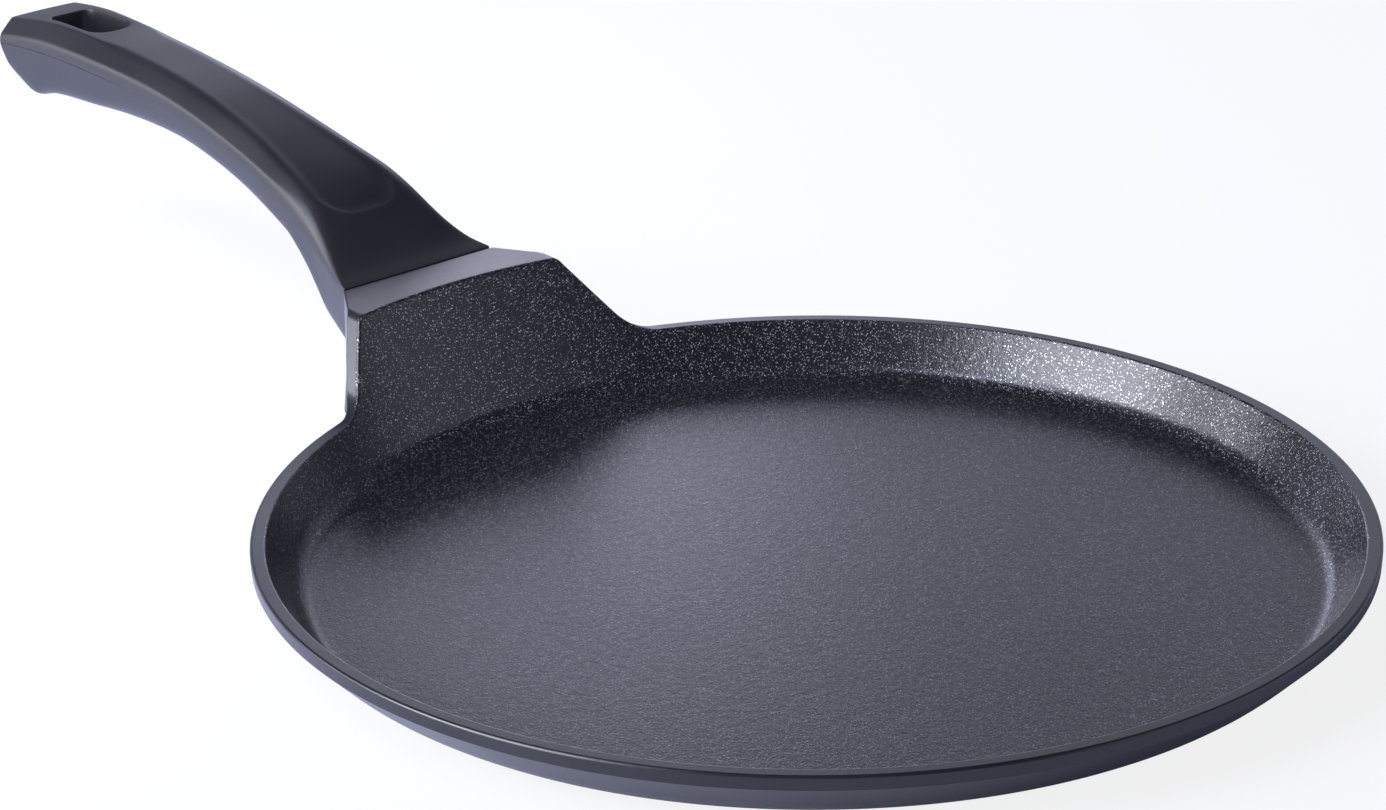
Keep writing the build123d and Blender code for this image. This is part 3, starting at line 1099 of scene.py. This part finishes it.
    def bottom_z(self, x: Points) -> Points:
        """Height of the underside's middle, with the flat heel and its rounding."""
        rail = self.base + smooth_value(self.underside_shares, self.place(x)) * self.rise
        ahead = np.clip(x - self.arc_x, 0, self.heel_radius * 0.999)
        arc = self.heel_z + self.heel_radius - np.sqrt(self.heel_radius ** 2 - ahead ** 2)
        heel = soft_max(rail, arc, self.heel_softness)
        return np.where(x > self.slot_front - self.slot_end, heel, rail)

    def corner_size(self, x: Points) -> Points:
        """Rounding between side and underside, smaller at the tail."""
        start, end = self.corner_fade
        small = smooth_step(x, self.slot_front - start, self.slot_front - end)
        return self.corner + (self.tail_corner - self.corner) * small

    def end_x(self, y: Points, z: Points) -> Points:
        """X of the tail's end face at a place on it."""
        drop = np.clip(self.heel_z + self.heel_radius - z, -self.heel_radius, self.heel_radius)
        arc = self.arc_x + np.sqrt(self.heel_radius ** 2 - drop ** 2)
        under = self.end - (self.nose_z - z) * self.lean
        above = self.end - (z - self.nose_z) * self.tail_nose / self.rise
        side = np.where(z < self.arc_top, arc, soft_min(under, above, self.nose_softness))
        bow = self.end - self.tail_plan_radius + np.sqrt(self.tail_plan_radius ** 2 - y ** 2)
        return soft_min(side, bow, self.end_softness)

    def section(self, x: Points, low_x: Points) -> tuple[Points, Points]:
        """Half of the cross-section, from the top's middle round to the underside's middle.

        Args:
            x: Place along the grip of each point of the upper side.
            low_x: Place along the grip where the underside is read.

        Returns:
            Y and Z of each point, one column for each entry of x.
        """
        ridge, ridge_z = self.ridge(x)
        half, edge_z = self.half(x), self.edge_z(x)
        low_z = self.bottom_z(low_x)
        side_drop = smooth_value(self.side_drops, self.place(x))
        corner = np.minimum(self.corner_size(low_x),
                            edge_z - low_z - side_drop - self.side_flat)
        draft = math.tan(math.radians(self.side_draft))
        low_half = half - draft * (edge_z - low_z - corner)
        slope = np.radians(smooth_value(self.bevel_slopes, self.place(x)))
        soft = self.ridge_softness + (self.tail_ridge_softness - self.ridge_softness) * smooth_step(
            x, self.slot_front - self.slot_end, self.slot_front - self.slot_margin)
        crown_y = ridge - np.minimum(soft, 0.3 * ridge)
        ys = [crown_y * s for s in np.linspace(0, 1, self.crown_steps + 1)]
        zs = [self.top_z(x, y) for y in ys]
        crown = np.stack([ys[-1], zs[-1]])
        ridge_p = np.stack([ridge, ridge_z])
        shoulder = np.stack([half, np.maximum(ridge_z - (half - ridge) * np.tan(slope),
                                              edge_z + 0.1)])
        side = np.stack([half - draft * side_drop, edge_z - side_drop])
        along = unit((shoulder - ridge_p).T).T
        reach = np.hypot(*(shoulder - ridge_p))
        ease = np.minimum(soft, 0.35 * reach)
        flat = smooth_value(self.bevel_flats, self.place(x)) * reach
        flat = np.maximum(flat, ease * 1.05)
        turn = ridge_p + along * flat
        points = (bend(crown, ridge_p, ridge_p + along * ease, self.ridge_steps)[1:]
                  + [ridge_p + along * (ease + (flat - ease) * share) for share in (0.5, 1.0)]
                  + bend(turn, shoulder, side, self.bevel_steps)[1:])
        for point in points:
            ys.append(point[0])
            zs.append(point[1])
        corner_z = low_z + corner
        groove = self.parting_depth * smooth_step(self.place(x), *self.parting_fade)
        start, wide = side_drop + self.parting_offset, self.parting_half_width
        for drop, depth in ((start, 0.0), (start + wide, 1.0), (start + 2 * wide, 0.0),
                            (start + self.parting_margin, 0.0)):
            ys.append(half - draft * drop - groove * depth)
            zs.append(edge_z - drop)
        start = start + self.parting_margin
        reach = edge_z - start - corner_z
        for s in self.side_shares:
            ys.append(half - draft * (start + reach * s))
            zs.append(edge_z - start - reach * s)
        for t in np.linspace(0, 1, self.corner_steps + 1)[1:]:
            ys.append(low_half - t * t * corner)
            zs.append(low_z + corner * (1 - t) ** 2)
        flat = low_half - corner
        for s in np.linspace(1, 0, self.crown_steps + 1)[1:]:
            ys.append(flat * s)
            zs.append(low_z + 0 * flat)
        return np.array(ys), np.array(zs)

    def stations(self) -> list[tuple[Points, Points, Points]]:
        """Half sections along the grip, the last ones leaning into the tail's end face.

        Returns:
            X, Y and Z of each half section.
        """
        start = self.slot_front - self.slot_margin
        dish_end = self.dish_start + 2 * self.dish_scoop
        xs = np.concatenate([
            self.front + np.array([self.front_rounding, *self.front_stations]),
            np.arange(self.front + self.station_start, self.dish_start - 1.5,
                      self.station_step),
            np.arange(self.dish_start - 1.0, dish_end, self.dish_rows),
            np.arange(dish_end + 0.6, start - 1.0, self.station_step),
            np.linspace(start, self.warp_x, self.slot_steps + 1)])
        result = []
        for x in xs:
            y, z = self.section(np.array([x]), np.array([x]))
            result.append((np.full(len(y), x), y[:, 0], z[:, 0]))
        self.slot_rows = (len(xs) - 1 - self.slot_steps, len(xs) - 1)
        count = len(result[0][0])
        low, high = np.full(count, self.warp_x), np.full(count, self.end + 3.0)
        seam = np.full(count, self.seam_x)
        pick = np.arange(count)
        for _ in range(SEARCH_STEPS):
            middle = (low + high) / 2
            y, z = (v[pick, pick] for v in self.section(middle, seam))
            before = middle < self.end_x(y, z) - self.end_rounding
            low, high = np.where(before, middle, low), np.where(before, high, middle)
        ends = np.where(pick >= count - 1 - self.crown_steps, self.seam_x, low)
        for share in self.tail_shares:
            x = self.warp_x + share * (ends - self.warp_x)
            low_x = np.full(count, self.warp_x + share * (self.seam_x - self.warp_x))
            y, z = (v[pick, pick] for v in self.section(x, low_x))
            result.append((x, y, z))
        x, y, z = result[0]
        for turn in (45.0, 90.0):
            inner_y, inner_z = self.shrunk(y, z, self.front_rounding, turn)
            ahead = self.front_rounding * math.sin(math.radians(turn))
            result.insert(0, (x - ahead, inner_y, inner_z))
        self.slot_rows = tuple(row + 2 for row in self.slot_rows)
        x, y, z = result[-1]
        for turn in (30.0, 60.0, 90.0):
            inner_y, inner_z = self.shrunk(y, z, self.end_rounding, turn)
            behind = self.end_rounding * (1 - math.sin(math.radians(turn)))
            result.append((self.end_x(inner_y, inner_z) - behind, inner_y, inner_z))
        return result

    def shrunk(self, y: Points, z: Points, rounding: float, turn: float
               ) -> tuple[Points, Points]:
        """Half section drawn in for an end's rounding.

        Args:
            y: The half section's places across.
            z: Its heights.
            rounding: The rounding's radius.
            turn: Degrees round it, from the side to the end face.

        Returns:
            Y and Z of the smaller half section.
        """
        inset = rounding * (1 - math.cos(math.radians(turn)))
        middle, tall = (z.max() + z.min()) / 2, (z.max() - z.min()) / 2
        return y * (1 - inset / y.max()), middle + (z - middle) * (1 - inset / tall)

    def slot_outline(self, u: float, v: float, grow: float) -> tuple[float, float]:
        """Point of the slot's outline for a point on the border of a square from -1 to 1.

        Args:
            u: Along the grip, 1 towards the tail.
            v: Across the grip.
            grow: How much wider than the slot the outline is.

        Returns:
            X and Y of the outline's point.
        """
        long, wide = self.slot_length / 2 + grow, self.slot_width / 2 + grow
        radius = grow + (self.slot_back_corner if u > 0 else self.slot_front_corner)
        x, y = abs(u) * long, abs(v) * wide
        in_x, in_y = x - (long - radius), y - (wide - radius)
        if in_x > 0 and in_y > 0:
            turn = math.pi / 4 * (in_y / radius if abs(u) >= abs(v) else 2 - in_x / radius)
            x = long - radius + radius * math.cos(turn)
            y = wide - radius + radius * math.sin(turn)
        middle = (self.slot_front + self.slot_back) / 2
        return middle + math.copysign(x, u), math.copysign(y, v)

    def build(self) -> bpy.types.Object:
        """Make the grip's mesh.

        Returns:
            The piece.
        """
        halves = self.stations()
        half_count = len(halves[0][0])
        count = 2 * half_count - 2
        flat = [tuple(p) for half in halves for p in mirrored(np.stack(half, axis=1))]
        first, last = self.slot_rows
        steps = self.crown_steps

        def ring(row: int, k: int) -> int:
            """Number of a section point, counted round the section."""
            return row * count + k % count

        in_top = {k % count for k in range(-steps, steps)}
        low = half_count - 1 - steps
        in_low = {k % count for k in range(low, low + 2 * steps)}
        faces = []
        for i in range(len(halves) - 1):
            for k in range(count):
                if first <= i < last and (k in in_top or k in in_low):
                    continue
                faces.append((ring(i, k), ring(i + 1, k), ring(i + 1, k + 1), ring(i, k + 1)))
        top = self.slot_border(list(range(-steps, steps + 1)), ring)
        under = self.slot_border(list(range(low + 2 * steps, low - 1, -1)), ring)
        walls = [self.slot_frame(flat, faces, top, True)]
        low_rim = self.slot_frame(flat, faces, under, False)
        for share in self.slot_wall_shares:
            loop = []
            for a, b in zip(walls[0], low_rim):
                spot = np.array(flat[a]) + share * (np.array(flat[b]) - np.array(flat[a]))
                loop.append(len(flat))
                flat.append(tuple(spot))
            walls.append(loop)
        walls.append(low_rim)
        for a, b in zip(walls, walls[1:]):
            faces += band(a, b)
        tail = len(halves) - 1
        self.fill_end(flat, faces, [ring(tail, k) for k in range(count)], half_count, True)
        self.fill_end(flat, faces, [ring(0, k) for k in range(count)], half_count, False)
        piece = mesh_object("moulded_grip", np.array(flat), faces, crease=180)
        self.cut_sockets(piece)
        self.piece = piece
        return piece

    def slot_border(self, columns: list[int], ring: Callable[[int, int], int]
                    ) -> list[tuple[int, float, float]]:
        """Border of the grid's block that the slot opens, with its places on a square.

        Args:
            columns: The block's places round the section, from -Y to +Y.
            ring: Gives a point's number from its row and place.

        Returns:
            Point number, place along and place across, counted round the border.
        """
        first, last = self.slot_rows
        rows, wide = list(range(first, last + 1)), len(columns) - 1
        spots = ([(i, 0) for i in rows] + [(last, j) for j in range(1, wide + 1)]
                 + [(i, wide) for i in rows[-2::-1]] + [(first, j) for j in range(wide - 1, 0, -1)])
        return [(ring(i, columns[j]), 2 * (i - first) / (last - first) - 1, 2 * j / wide - 1)
                for i, j in spots]

    def slot_frame(self, flat: list, faces: list, border: list, is_top: bool) -> list[int]:
        """Surface round one mouth of the slot, with the mouth's rounded edge.

        Args:
            flat: Points so far, to which the frame's are added.
            faces: Faces so far, to which the frame's are added.
            border: Border of the opened block.
            is_top: Whether this is the upper mouth.

        Returns:
            The loop where the slot's wall starts.
        """
        rounding = self.slot_rounding
        steps = [(share, rounding, 0.0) for share in (0.4, 0.75, 1.0)]
        for turn in (30.0, 60.0, 90.0):
            a = math.radians(turn)
            steps.append((1.0, rounding * (1 - math.sin(a)), rounding * (1 - math.cos(a))))
        loops = [[index for index, _, _ in border]]
        for share, grow, sink in steps:
            loop = []
            for index, u, v in border:
                outer = np.array(flat[index][:2])
                x, y = outer + (np.array(self.slot_outline(u, v, grow)) - outer) * share
                if is_top:
                    z = float(self.top_z(np.array([x]), np.array([y]))[0]) - sink
                else:
                    z = float(self.bottom_z(np.array([x]))[0]) + sink
                loop.append(len(flat))
                flat.append((x, y, z))
            loops.append(loop)
        for a, b in zip(loops, loops[1:]):
            faces += [face if is_top else face[::-1] for face in band(a, b)]
        return loops[-1]

    def fill_end(self, flat: list, faces: list, loop: list[int], half_count: int,
                 is_tail: bool) -> None:
        """Close one end of the grip with a grid between its upper and lower lines.

        Args:
            flat: Points so far, to which the grid's are added.
            faces: Faces so far, to which the grid's are added.
            loop: The end section's points, counted round it.
            half_count: Number of points of a half section.
            is_tail: Whether this is the tail's end and not the one at the lug.
        """
        steps, count = self.crown_steps, len(loop)
        top = [loop[k % count] for k in range(-steps, steps + 1)]
        low_start = half_count - 1 - steps
        right = [loop[k] for k in range(steps, low_start + 1)]
        bottom = [loop[k] for k in range(low_start + 2 * steps, low_start - 1, -1)]
        left = [loop[k % count] for k in range(-steps, low_start + 2 * steps - count - 1, -1)]
        width, height = len(top), len(right)
        yz = {name: np.array([flat[i][1:] for i in line])
              for name, line in (("t", top), ("b", bottom), ("l", left), ("r", right))}
        grid = [[0] * width for _ in range(height)]
        for i in range(height):
            for j in range(width):
                if i in (0, height - 1) or j in (0, width - 1):
                    grid[i][j] = (top[j] if i == 0 else bottom[j] if i == height - 1
                                  else left[i] if j == 0 else right[i])
                    continue
                v, u = i / (height - 1), j / (width - 1)
                spot = ((1 - v) * yz["t"][j] + v * yz["b"][j] + (1 - u) * yz["l"][i]
                        + u * yz["r"][i]
                        - (1 - v) * ((1 - u) * yz["t"][0] + u * yz["t"][-1])
                        - v * ((1 - u) * yz["b"][0] + u * yz["b"][-1]))
                x = float(self.end_x(spot[0], spot[1])) if is_tail else self.front
                grid[i][j] = len(flat)
                flat.append((x, float(spot[0]), float(spot[1])))
        for i in range(height - 1):
            for j in range(width - 1):
                face = (grid[i][j], grid[i + 1][j], grid[i + 1][j + 1], grid[i][j + 1])
                faces.append(face if is_tail else face[::-1])

    def cut_sockets(self, piece: bpy.types.Object) -> None:
        """Cut the socket for the tongue and the stepped recess for the screw."""
        pan = self.pan
        over = 5.0
        length = pan.tongue_length + self.socket_tip_gap + over
        size = (length, pan.tongue_width + 2 * self.socket_clearance,
                pan.tongue_thickness + self.socket_clearance)
        socket = block("socket", size,
                       pan.tongue_place((length - 2 * over) / 2, self.socket_clearance / 2))
        wall = -pan.tongue_thickness / 2 - self.clamped_wall
        hole = rod("screw_way", pan.screw_radius + self.screw_clearance,
                   self.clamped_wall + 2 * over, pan.tongue_place(pan.screw_along, wall - over))
        deep = pan.seat_height
        recess = rod("screw_recess", self.washer_radius + self.screw_clearance, deep,
                     pan.tongue_place(pan.screw_along, wall - deep))
        carve(piece, [socket, hole, recess])
        smooth(piece.data, self.crease)

    def dress(self, resin: bpy.types.Material) -> None:
        """Give the grip its finish."""
        self.piece.data.materials.clear()
        self.piece.data.materials.append(resin)
        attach(self.piece, "root")
        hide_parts("handle_grip")


# Base plate studs

@dataclass
class PlateStuds:
    """Studs of the casting that fill the base plate's rings of holes."""

    plate_radius: float
    rings: int = 5
    centre_radius: float = 14.0
    centre_gap: float = 0.1
    margin: float = 8.0
    stud_radius: float = 1.9
    pitch: float = 17.0
    height: float = 0.9
    stud_sides: int = 20
    centre_sides: int = 64
    crease: float = 30.0

    def tree(self, finish: bpy.types.Material) -> bpy.types.NodeTree:
        """Geometry nodes that set studs on rings, and a wide one in the middle.

        Args:
            finish: Material of the studs.

        Returns:
            The tree.
        """
        tree = bpy.data.node_groups.new("stud_rings", "GeometryNodeTree")
        tree.interface.new_socket("Geometry", in_out="INPUT", socket_type="NodeSocketGeometry")
        tree.interface.new_socket("Rings", in_out="INPUT", socket_type="NodeSocketInt")
        for name in ("Inner Radius", "Outer Radius", "Pitch", "Stud Radius", "Height",
                     "Centre Radius"):
            tree.interface.new_socket(name, in_out="INPUT", socket_type="NodeSocketFloat")
        tree.interface.new_socket("Geometry", in_out="OUTPUT", socket_type="NodeSocketGeometry")
        sheet = Sheet(tree)
        given = sheet.add("NodeGroupInput").outputs
        loop_in = sheet.add("GeometryNodeRepeatInput")
        loop_out = sheet.add("GeometryNodeRepeatOutput")
        loop_in.pair_with_output(loop_out)
        sheet.lead(loop_in, Iterations=given["Rings"])
        gaps = sheet.math("SUBTRACT", given["Rings"], 1.0)
        share = sheet.math("DIVIDE", loop_in.outputs["Iteration"], gaps)
        radius = sheet.math("ADD", given["Inner Radius"], sheet.math(
            "MULTIPLY", share, sheet.math("SUBTRACT", given["Outer Radius"],
                                          given["Inner Radius"])))
        number = sheet.math("ROUND", sheet.math(
            "DIVIDE", sheet.math("MULTIPLY", radius, 2 * math.pi), given["Pitch"]))
        circle = sheet.add("GeometryNodeMeshCircle", {"Vertices": number, "Radius": radius})
        stud = sheet.add("GeometryNodeMeshCylinder", {
            "Vertices": self.stud_sides, "Radius": given["Stud Radius"], "Depth": given["Height"]})
        studs = sheet.add("GeometryNodeInstanceOnPoints", {
            "Points": circle.outputs["Mesh"], "Instance": stud.outputs["Mesh"]})
        both = sheet.add("GeometryNodeJoinGeometry")
        sheet.lead(both, Geometry=studs.outputs["Instances"])
        sheet.lead(both, Geometry=loop_in.outputs["Geometry"])
        sheet.lead(loop_out, Geometry=both.outputs["Geometry"])
        middle = sheet.add("GeometryNodeMeshCylinder", {
            "Vertices": self.centre_sides, "Radius": given["Centre Radius"],
            "Depth": given["Height"]})
        whole = sheet.add("GeometryNodeJoinGeometry")
        sheet.lead(whole, Geometry=middle.outputs["Mesh"])
        sheet.lead(whole, Geometry=loop_out.outputs["Geometry"])
        lift = sheet.add("ShaderNodeCombineXYZ", {"Z": sheet.math(
            "MULTIPLY", given["Height"], 0.5)})
        placed = sheet.add("GeometryNodeTransform", {
            "Geometry": whole.outputs["Geometry"], "Translation": lift.outputs["Vector"]})
        solid = sheet.add("GeometryNodeRealizeInstances", {
            "Geometry": placed.outputs["Geometry"]})
        painted = sheet.add("GeometryNodeSetMaterial", {
            "Geometry": solid.outputs["Geometry"], "Material": finish})
        sheet.add("NodeGroupOutput", {"Geometry": painted.outputs["Geometry"]})
        return tree

    def build(self, finish: bpy.types.Material) -> bpy.types.Object:
        """Make the studs as one plain mesh.

        Args:
            finish: Their material.

        Returns:
            The piece.
        """
        piece = in_scene("base_studs", bpy.data.meshes.new("base_studs"))
        tree = self.tree(finish)
        modifier = piece.modifiers.new("studs", "NODES")
        modifier.node_group = tree
        inner = self.centre_radius + self.margin
        sizes = {"Rings": self.rings, "Inner Radius": inner * MM,
                 "Outer Radius": (self.plate_radius - self.margin) * MM,
                 "Pitch": self.pitch * MM, "Stud Radius": self.stud_radius * MM,
                 "Height": self.height * MM,
                 "Centre Radius": (self.centre_radius - self.centre_gap) * MM}
        for item in tree.interface.items_tree:
            if item.item_type == "SOCKET" and item.in_out == "INPUT" and item.name in sizes:
                modifier[item.identifier] = sizes[item.name]
        bake_modifiers(piece)
        smooth(piece.data, self.crease)
        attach(piece, "root")
        return piece


# Studio

@dataclass(frozen=True)
class SoftBox:
    """Rectangular lamp that faces a target; brightness 1 is white."""

    name: str
    place: Triple
    target: Triple
    size: tuple[float, float]
    brightness: float
    colour: Colour
    spread: float = 180.0

    def hang(self) -> None:
        """Put the lamp in the scene."""
        data = bpy.data.lights.new(self.name, "AREA")
        width, height = self.size[0] * MM, self.size[1] * MM
        data.shape, data.size, data.size_y = "RECTANGLE", width, height
        data.spread, data.color = math.radians(self.spread), self.colour
        data.energy = self.brightness * math.pi * width * height
        aim = Vector(self.target) - Vector(self.place)
        in_scene(self.name, data).matrix_world = (
            Matrix.Translation(Vector(self.place) * MM)
            @ aim.to_track_quat("-Z", "Y").to_matrix().to_4x4())


COOL_WHITE: Colour = (0.77, 0.80, 1.0)
LAMP_WHITE: Colour = (0.88, 0.91, 1.0)
LAMPS = (
    SoftBox("side_box", (501, 1707, 850), (30, 825, 850), (1600, 1500), 13.5, LAMP_WHITE),
    SoftBox("side_card", (1732, 1050, 325), (1261, 168, 325), (450, 650), 2.5, LAMP_WHITE),
    SoftBox("strip_light", (1710, 1062, 710), (1239, 180, 710), (320, 400), 15.0, LAMP_WHITE),
    SoftBox("table_lamp", (307, 536, 795), (380, 120, 0), (500, 500), 2.0, COOL_WHITE, 50.0),
    SoftBox("back_box", (852, -543, 290), (80, 93, 290), (285, 380), 2.3, COOL_WHITE),
    SoftBox("back_card", (646, -792, 450), (-126, -156, 450), (360, 260), 0.6, COOL_WHITE),
    SoftBox("front_card", (-910, -790, 480), (0, 0, 300), (1500, 760), 1.0, COOL_WHITE))


@dataclass
class Studio:
    """White floor and backdrop, soft lamps, and the camera at the photograph's angle."""

    camera_place: Triple = (-770.6, 673.7, 471.5)
    camera_forward: Triple = (0.7134, -0.5880, -0.3812)
    camera_up: Triple = (0.2845, -0.2542, 0.9244)
    lens: float = 116.9
    sensor: float = 36.0
    nearest: float = 0.05
    farthest: float = 60.0
    floor_size: float = 30.0
    floor_colour: Colour = (0.74, 0.76, 0.92)
    floor_roughness: float = 0.9
    floor_glow: float = 0.85
    wall_top: float = 0.45
    wall_light: float = 0.8
    room_light: float = 0.14
    fill_light: float = 0.12

    def camera(self) -> None:
        """Set the camera."""
        data = bpy.data.cameras.new("view")
        data.lens, data.sensor_width, data.sensor_fit = self.lens, self.sensor, "HORIZONTAL"
        data.clip_start, data.clip_end = self.nearest, self.farthest
        back = -Vector(self.camera_forward).normalized()
        up = Vector(self.camera_up).normalized()
        right = up.cross(back).normalized()
        up = back.cross(right)
        turn = Matrix((right, up, back)).transposed().to_4x4()
        camera = in_scene("view", data)
        camera.matrix_world = Matrix.Translation(Vector(self.camera_place) * MM) @ turn
        bpy.context.scene.camera = camera

    def floor(self) -> None:
        """Lay the pale floor, which shows white away from the pan's shadow."""
        s = self.floor_size / 2 / MM
        floor = mesh_object("floor", np.array([(-s, -s, 0), (s, -s, 0), (s, s, 0), (-s, s, 0)]),
                            [(0, 1, 2, 3)])
        material, sheet, shader, _ = new_material("pale_floor")
        shader.inputs["Base Color"].default_value = (*self.floor_colour, 1.0)
        shader.inputs["Roughness"].default_value = self.floor_roughness
        glow = sheet.add("ShaderNodeEmission", {"Color": (1.0, 1.0, 1.0, 1.0), "Strength": 1.0})
        path = sheet.add("ShaderNodeLightPath")
        share = sheet.math("MULTIPLY", path.outputs["Is Camera Ray"], self.floor_glow)
        mix = sheet.add("ShaderNodeMixShader", {0: share, 1: shader.outputs[0],
                                                2: glow.outputs[0]})
        leave = next(n for n in sheet.tree.nodes if n.type == "OUTPUT_MATERIAL")
        sheet.lead(leave, Surface=mix.outputs[0])
        floor.data.materials.append(material)

    def world(self) -> None:
        """Give the world a white backdrop, and for reflections a white wall in a dim room."""
        world = bpy.data.worlds.new("studio")
        bpy.context.scene.world = world
        world.use_nodes = True
        world.node_tree.nodes.clear()
        sheet = Sheet(world.node_tree)
        way = sheet.add("ShaderNodeTexCoord").outputs["Generated"]
        parts = sheet.add("ShaderNodeSeparateXYZ", {"Vector": way})
        ahead = Vector((self.camera_forward[0], self.camera_forward[1], 0)).normalized()
        facing = sheet.add("ShaderNodeVectorMath", {0: way, 1: tuple(ahead)},
                           operation="DOT_PRODUCT").outputs["Value"]
        low = sheet.span(parts.outputs["Z"], self.wall_top + 0.1, self.wall_top - 0.1)
        wall = sheet.math("MULTIPLY", low, sheet.span(facing, 0.4, 0.95))
        room = sheet.span(wall, 0.0, 1.0, self.room_light, self.wall_light)
        path = sheet.add("ShaderNodeLightPath")
        for_gloss = sheet.math("MULTIPLY", room, path.outputs["Is Glossy Ray"])
        for_camera = sheet.math("MAXIMUM", for_gloss, path.outputs["Is Camera Ray"])
        strength = sheet.math("MAXIMUM", for_camera, sheet.math(
            "MULTIPLY", path.outputs["Is Diffuse Ray"], self.fill_light))
        colour = sheet.tint(path.outputs["Is Camera Ray"], COOL_WHITE, (1.0, 1.0, 1.0))
        glow = sheet.add("ShaderNodeBackground", {"Color": colour, "Strength": strength})
        sheet.add("ShaderNodeOutputWorld", {"Surface": glow.outputs[0]})

    def build(self) -> None:
        """Set the whole studio."""
        self.camera()
        self.floor()
        self.world()
        for lamp in LAMPS:
            lamp.hang()
        bpy.context.scene.view_settings.view_transform = "Standard"


def refinish(node: str, material: bpy.types.Material) -> None:
    """Give a CAD node that stays visible its finish."""
    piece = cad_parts[node]
    piece.data.materials.clear()
    piece.data.materials.append(material)
    LOG.info("%s: CAD shape with %s", node, material.name)


def report(piece: bpy.types.Object) -> None:
    """Log what was built."""
    LOG.info("%s: %d faces", piece.name, len(piece.data.polygons))


def main() -> None:
    """Build the pieces in order, dress them and set the studio."""
    logging.basicConfig(level=logging.INFO, format="%(message)s")
    effects = SharedEffects()
    coating = NonStickCoating().material(effects)
    land = SatinEnamel("land_enamel").material(effects)
    outside = SatinEnamel("outer_enamel").material(effects)
    aluminium = TurnedMetal("turned_aluminium", (0.60, 0.61, 0.62), (0.72, 0.73, 0.74),
                            0.30).material(effects)
    steel = TurnedMetal("turned_steel", (0.46, 0.46, 0.46), (0.58, 0.58, 0.57),
                        0.26).material(effects)
    fastener = PlainSteel().material(effects)
    resin = Phenolic().material(effects)

    pan = PanBody()
    report(pan.build())
    pan.dress(coating, land, outside, aluminium)
    grip = HandleGrip(pan)
    report(grip.build())
    grip.dress(resin)
    report(PlateStuds(plate_radius=pan.plate_radius).build(aluminium))
    refinish("induction_plate", steel)
    for node in ("handle_screw", "lock_washer", "flat_washer"):
        refinish(node, fastener)
    Studio().build()


if __name__ == "__main__":
    main()
